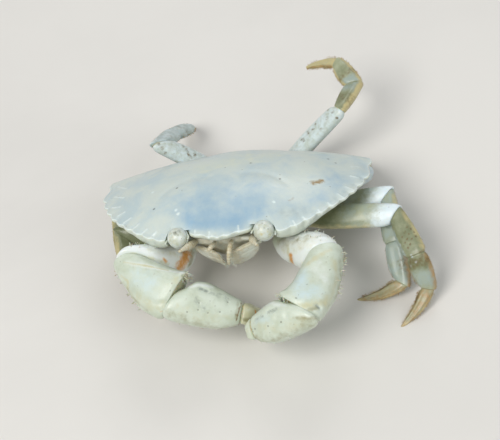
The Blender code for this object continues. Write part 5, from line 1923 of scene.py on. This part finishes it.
    def lobes(self, shop: Workshop) -> None:
        """Make the pale knobs between the orbits and the mouth plates."""
        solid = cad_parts["underbody"].data
        tree = BVHTree.FromPolygons([vert.co for vert in solid.vertices],
                                    [tuple(face.vertices) for face in solid.polygons])
        across, up, back = VIEW.axes()
        knobs = []
        for pixel, half_width, half_height in FACE_LOBES:
            centre = VIEW.touch(tree, pixel, body_to_model(np.array((0, -0.34, -0.07)))) + back * 0.25 * MM
            reach = across * half_width * MM
            rows = tuple((t, half_height * k, half_height * k, 0.5 * k)
                         for t, k in ((0, 0.6), (0.3, 0.95), (0.6, 1.0), (1, 0.6)))
            sweep = Sweep([centre - reach, centre + reach], up, rows, sides=36, rows=32,
                          start_gap=0.0, end_gap=0.0, rounding=(half_height * 0.55 * MM,) * 2, power=2.1)
            knobs.append(sweep.surface())
        skin = reduce(Surface.join, knobs)
        tints = {"white": np.full(len(skin.points), 0.8)}
        shop.hand_over(skin.to_object("face_lobes", tints), UNDERSIDE_FINISH, "underside")

    def build(self, shop: Workshop, bristles: BristleTree) -> None:
        """Make the whole face."""
        self.lobes(shop)
        roots = Roots(shop.rng)
        for side in SIDES:
            self.eye(side, shop)
            self.orbit(side, shop)
            self.feeler("antennule", dict(self.antennules)[side], (0.36, 0.42, 0.36, 0.27), 0.06, side, shop)
            self.feeler("antenna", self.antenna, (0.6, 0.66, 0.36, 0.2), 0.01, side, shop)
            self.mouth_plate(side, shop, roots)
        bristles.grow("face_bristles", roots, shop, PALE_BRISTLE_FINISH, "underside")


@dataclass
class Underside:
    """The sternum with its mouth field, and the tail flap folded under it."""

    voxel: float = 0.26 * MM
    rounds: int = 6
    merge_distance: float = 1e-6
    sternum_seams: tuple = (-0.145, -0.055, 0.03, 0.10)
    seam_slope: float = 0.25
    flap_path: tuple = ((0, 0.137, -0.171), (0, 0.095, -0.197), (0, 0.0, -0.195), (0, -0.075, -0.193))
    flap_sections: tuple = ((0, 3.1, 3.1, 0.3), (0.15, 3.2, 3.2, 0.33), (0.6, 2.2, 2.2, 0.35),
                            (0.9, 1.2, 1.2, 0.33), (1, 0.6, 0.6, 0.25))
    flap_seams: tuple = (0.16, 0.32, 0.47, 0.62, 0.78)

    def core(self, shop: Workshop) -> None:
        """Make the sternum from a merged copy of its solid."""
        rough = bpy.data.objects.new("underbody_rough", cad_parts["underbody"].data.copy())
        bpy.context.scene.collection.objects.link(rough)
        bm = bmesh.new()
        bm.from_mesh(rough.data)
        bmesh.ops.remove_doubles(bm, verts=bm.verts, dist=self.merge_distance)
        bm.to_mesh(rough.data)
        bm.free()
        surface = voxel_skin(rough, self.voxel, self.rounds)
        body = model_to_body(surface.points)
        x, y, z = np.abs(body[:, 0]), body[:, 1], body[:, 2]
        down = smooth_step(-surface.normals()[:, 2], 0.1, 0.6)
        lines = [hump(y - seam - self.seam_slope * (x - 0.08), 0.0, 0.007) for seam in self.sternum_seams]
        groove = sum(lines) * (x > 0.03) * down
        front = smooth_step(-y, 0.27, 0.31)
        surface.push(-0.22 * MM * groove)
        # The white at the front of the mouth field is partly its own pale tan and partly painted light that
        # lifts the shade under the shell's front.
        tints = {"brown": 0.5 * groove, "olive": 0.35 * smooth_step(z, -0.09, -0.06) * (1 - front),
                 "white": 0.45 * down * (1 - groove) * (1 - front) + 0.55 * front}
        shop.hand_over(surface.to_object("underbody_skin", tints), UNDERSIDE_FINISH, "underside",
                       "underbody")

    def flap(self, shop: Workshop) -> None:
        """Make the jointed tail flap."""
        path = [body_to_model(np.array(point)) for point in self.flap_path]
        surface = Sweep(path, np.array((1.0, 0, 0)), self.flap_sections, sides=80, rows=90,
                        rounding=(0.2 * MM, 0.2 * MM)).surface()
        u, v = surface.fields["u"], surface.fields["v"]
        seam = sum(hump(u - place - 0.02 * v * v, 0.0, 0.012) for place in self.flap_seams)
        surface.push((-0.14 * seam + 0.06 * hump(v, 0.0, 0.25)) * MM)
        tints = {"brown": 0.6 * seam, "white": 0.5 * (1 - seam) * np.abs(v)}
        shop.hand_over(surface.to_object("abdomen_skin", tints), UNDERSIDE_FINISH, "underside", "abdomen")

    def build(self, shop: Workshop) -> None:
        """Make both pieces."""
        self.core(shop)
        self.flap(shop)


@dataclass
class Studio:
    """A pale floor, soft lights and the camera."""

    floor_size: float = 3.0
    floor_cells: int = 8
    sky: Colour = (0.95, 0.97, 1.0)
    sky_strength: float = 0.35
    # Name, place, size, power and colour
    lights: tuple = (
        ("key_light", (-0.30, -0.45, 0.75), 0.55, 5.5, (1.0, 0.98, 0.95)),
        ("fill_light", (0.60, -0.35, 0.50), 0.60, 1.6, (0.95, 0.98, 1.0)),
        ("back_light", (0.10, 0.70, 0.60), 0.50, 1.4, (1.0, 1.0, 1.0)),
    )

    def build(self, shop: Workshop) -> None:
        """Make the floor, the sky, the lights and the camera."""
        bm = bmesh.new()
        bmesh.ops.create_grid(bm, x_segments=self.floor_cells, y_segments=self.floor_cells,
                              size=self.floor_size / 2)
        mesh = bpy.data.meshes.new("studio_floor")
        bm.to_mesh(mesh)
        bm.free()
        floor = bpy.data.objects.new("studio_floor", mesh)
        bpy.context.scene.collection.objects.link(floor)
        mesh.materials.append(shop.material(FLOOR_FINISH))
        world = bpy.data.worlds.new("studio_sky")
        bpy.context.scene.world = world
        world.use_nodes = True
        sky = world.node_tree.nodes["Background"]
        sky.inputs["Color"].default_value = (*self.sky, 1)
        sky.inputs["Strength"].default_value = self.sky_strength
        for name, place, size, power, colour in self.lights:
            data = bpy.data.lights.new(name, "AREA")
            data.shape = "DISK"
            data.size = size
            data.energy = power
            data.color = colour
            lamp = bpy.data.objects.new(name, data)
            aim = Vector((0, 0, 0.01)) - Vector(place)
            lamp.rotation_euler = aim.to_track_quat("-Z", "Y").to_euler()
            lamp.location = place
            bpy.context.scene.collection.objects.link(lamp)
        bpy.context.scene.view_settings.view_transform = "Standard"
        VIEW.build()


def main() -> None:
    """Build the crab and its studio."""
    logging.basicConfig(level=logging.INFO, format="%(name)s: %(message)s")
    shop = Workshop(Effects())
    bristles = BristleTree()
    Studio().build(shop)
    Carapace().build(shop)
    Underside().build(shop)
    Face().build(shop, bristles)
    for side in SIDES:
        Claw(side).build(shop, bristles)
        for leg in LEG_DEPTH:
            WalkingLeg(side, leg).build(shop, bristles)


if __name__ == "__main__":
    main()
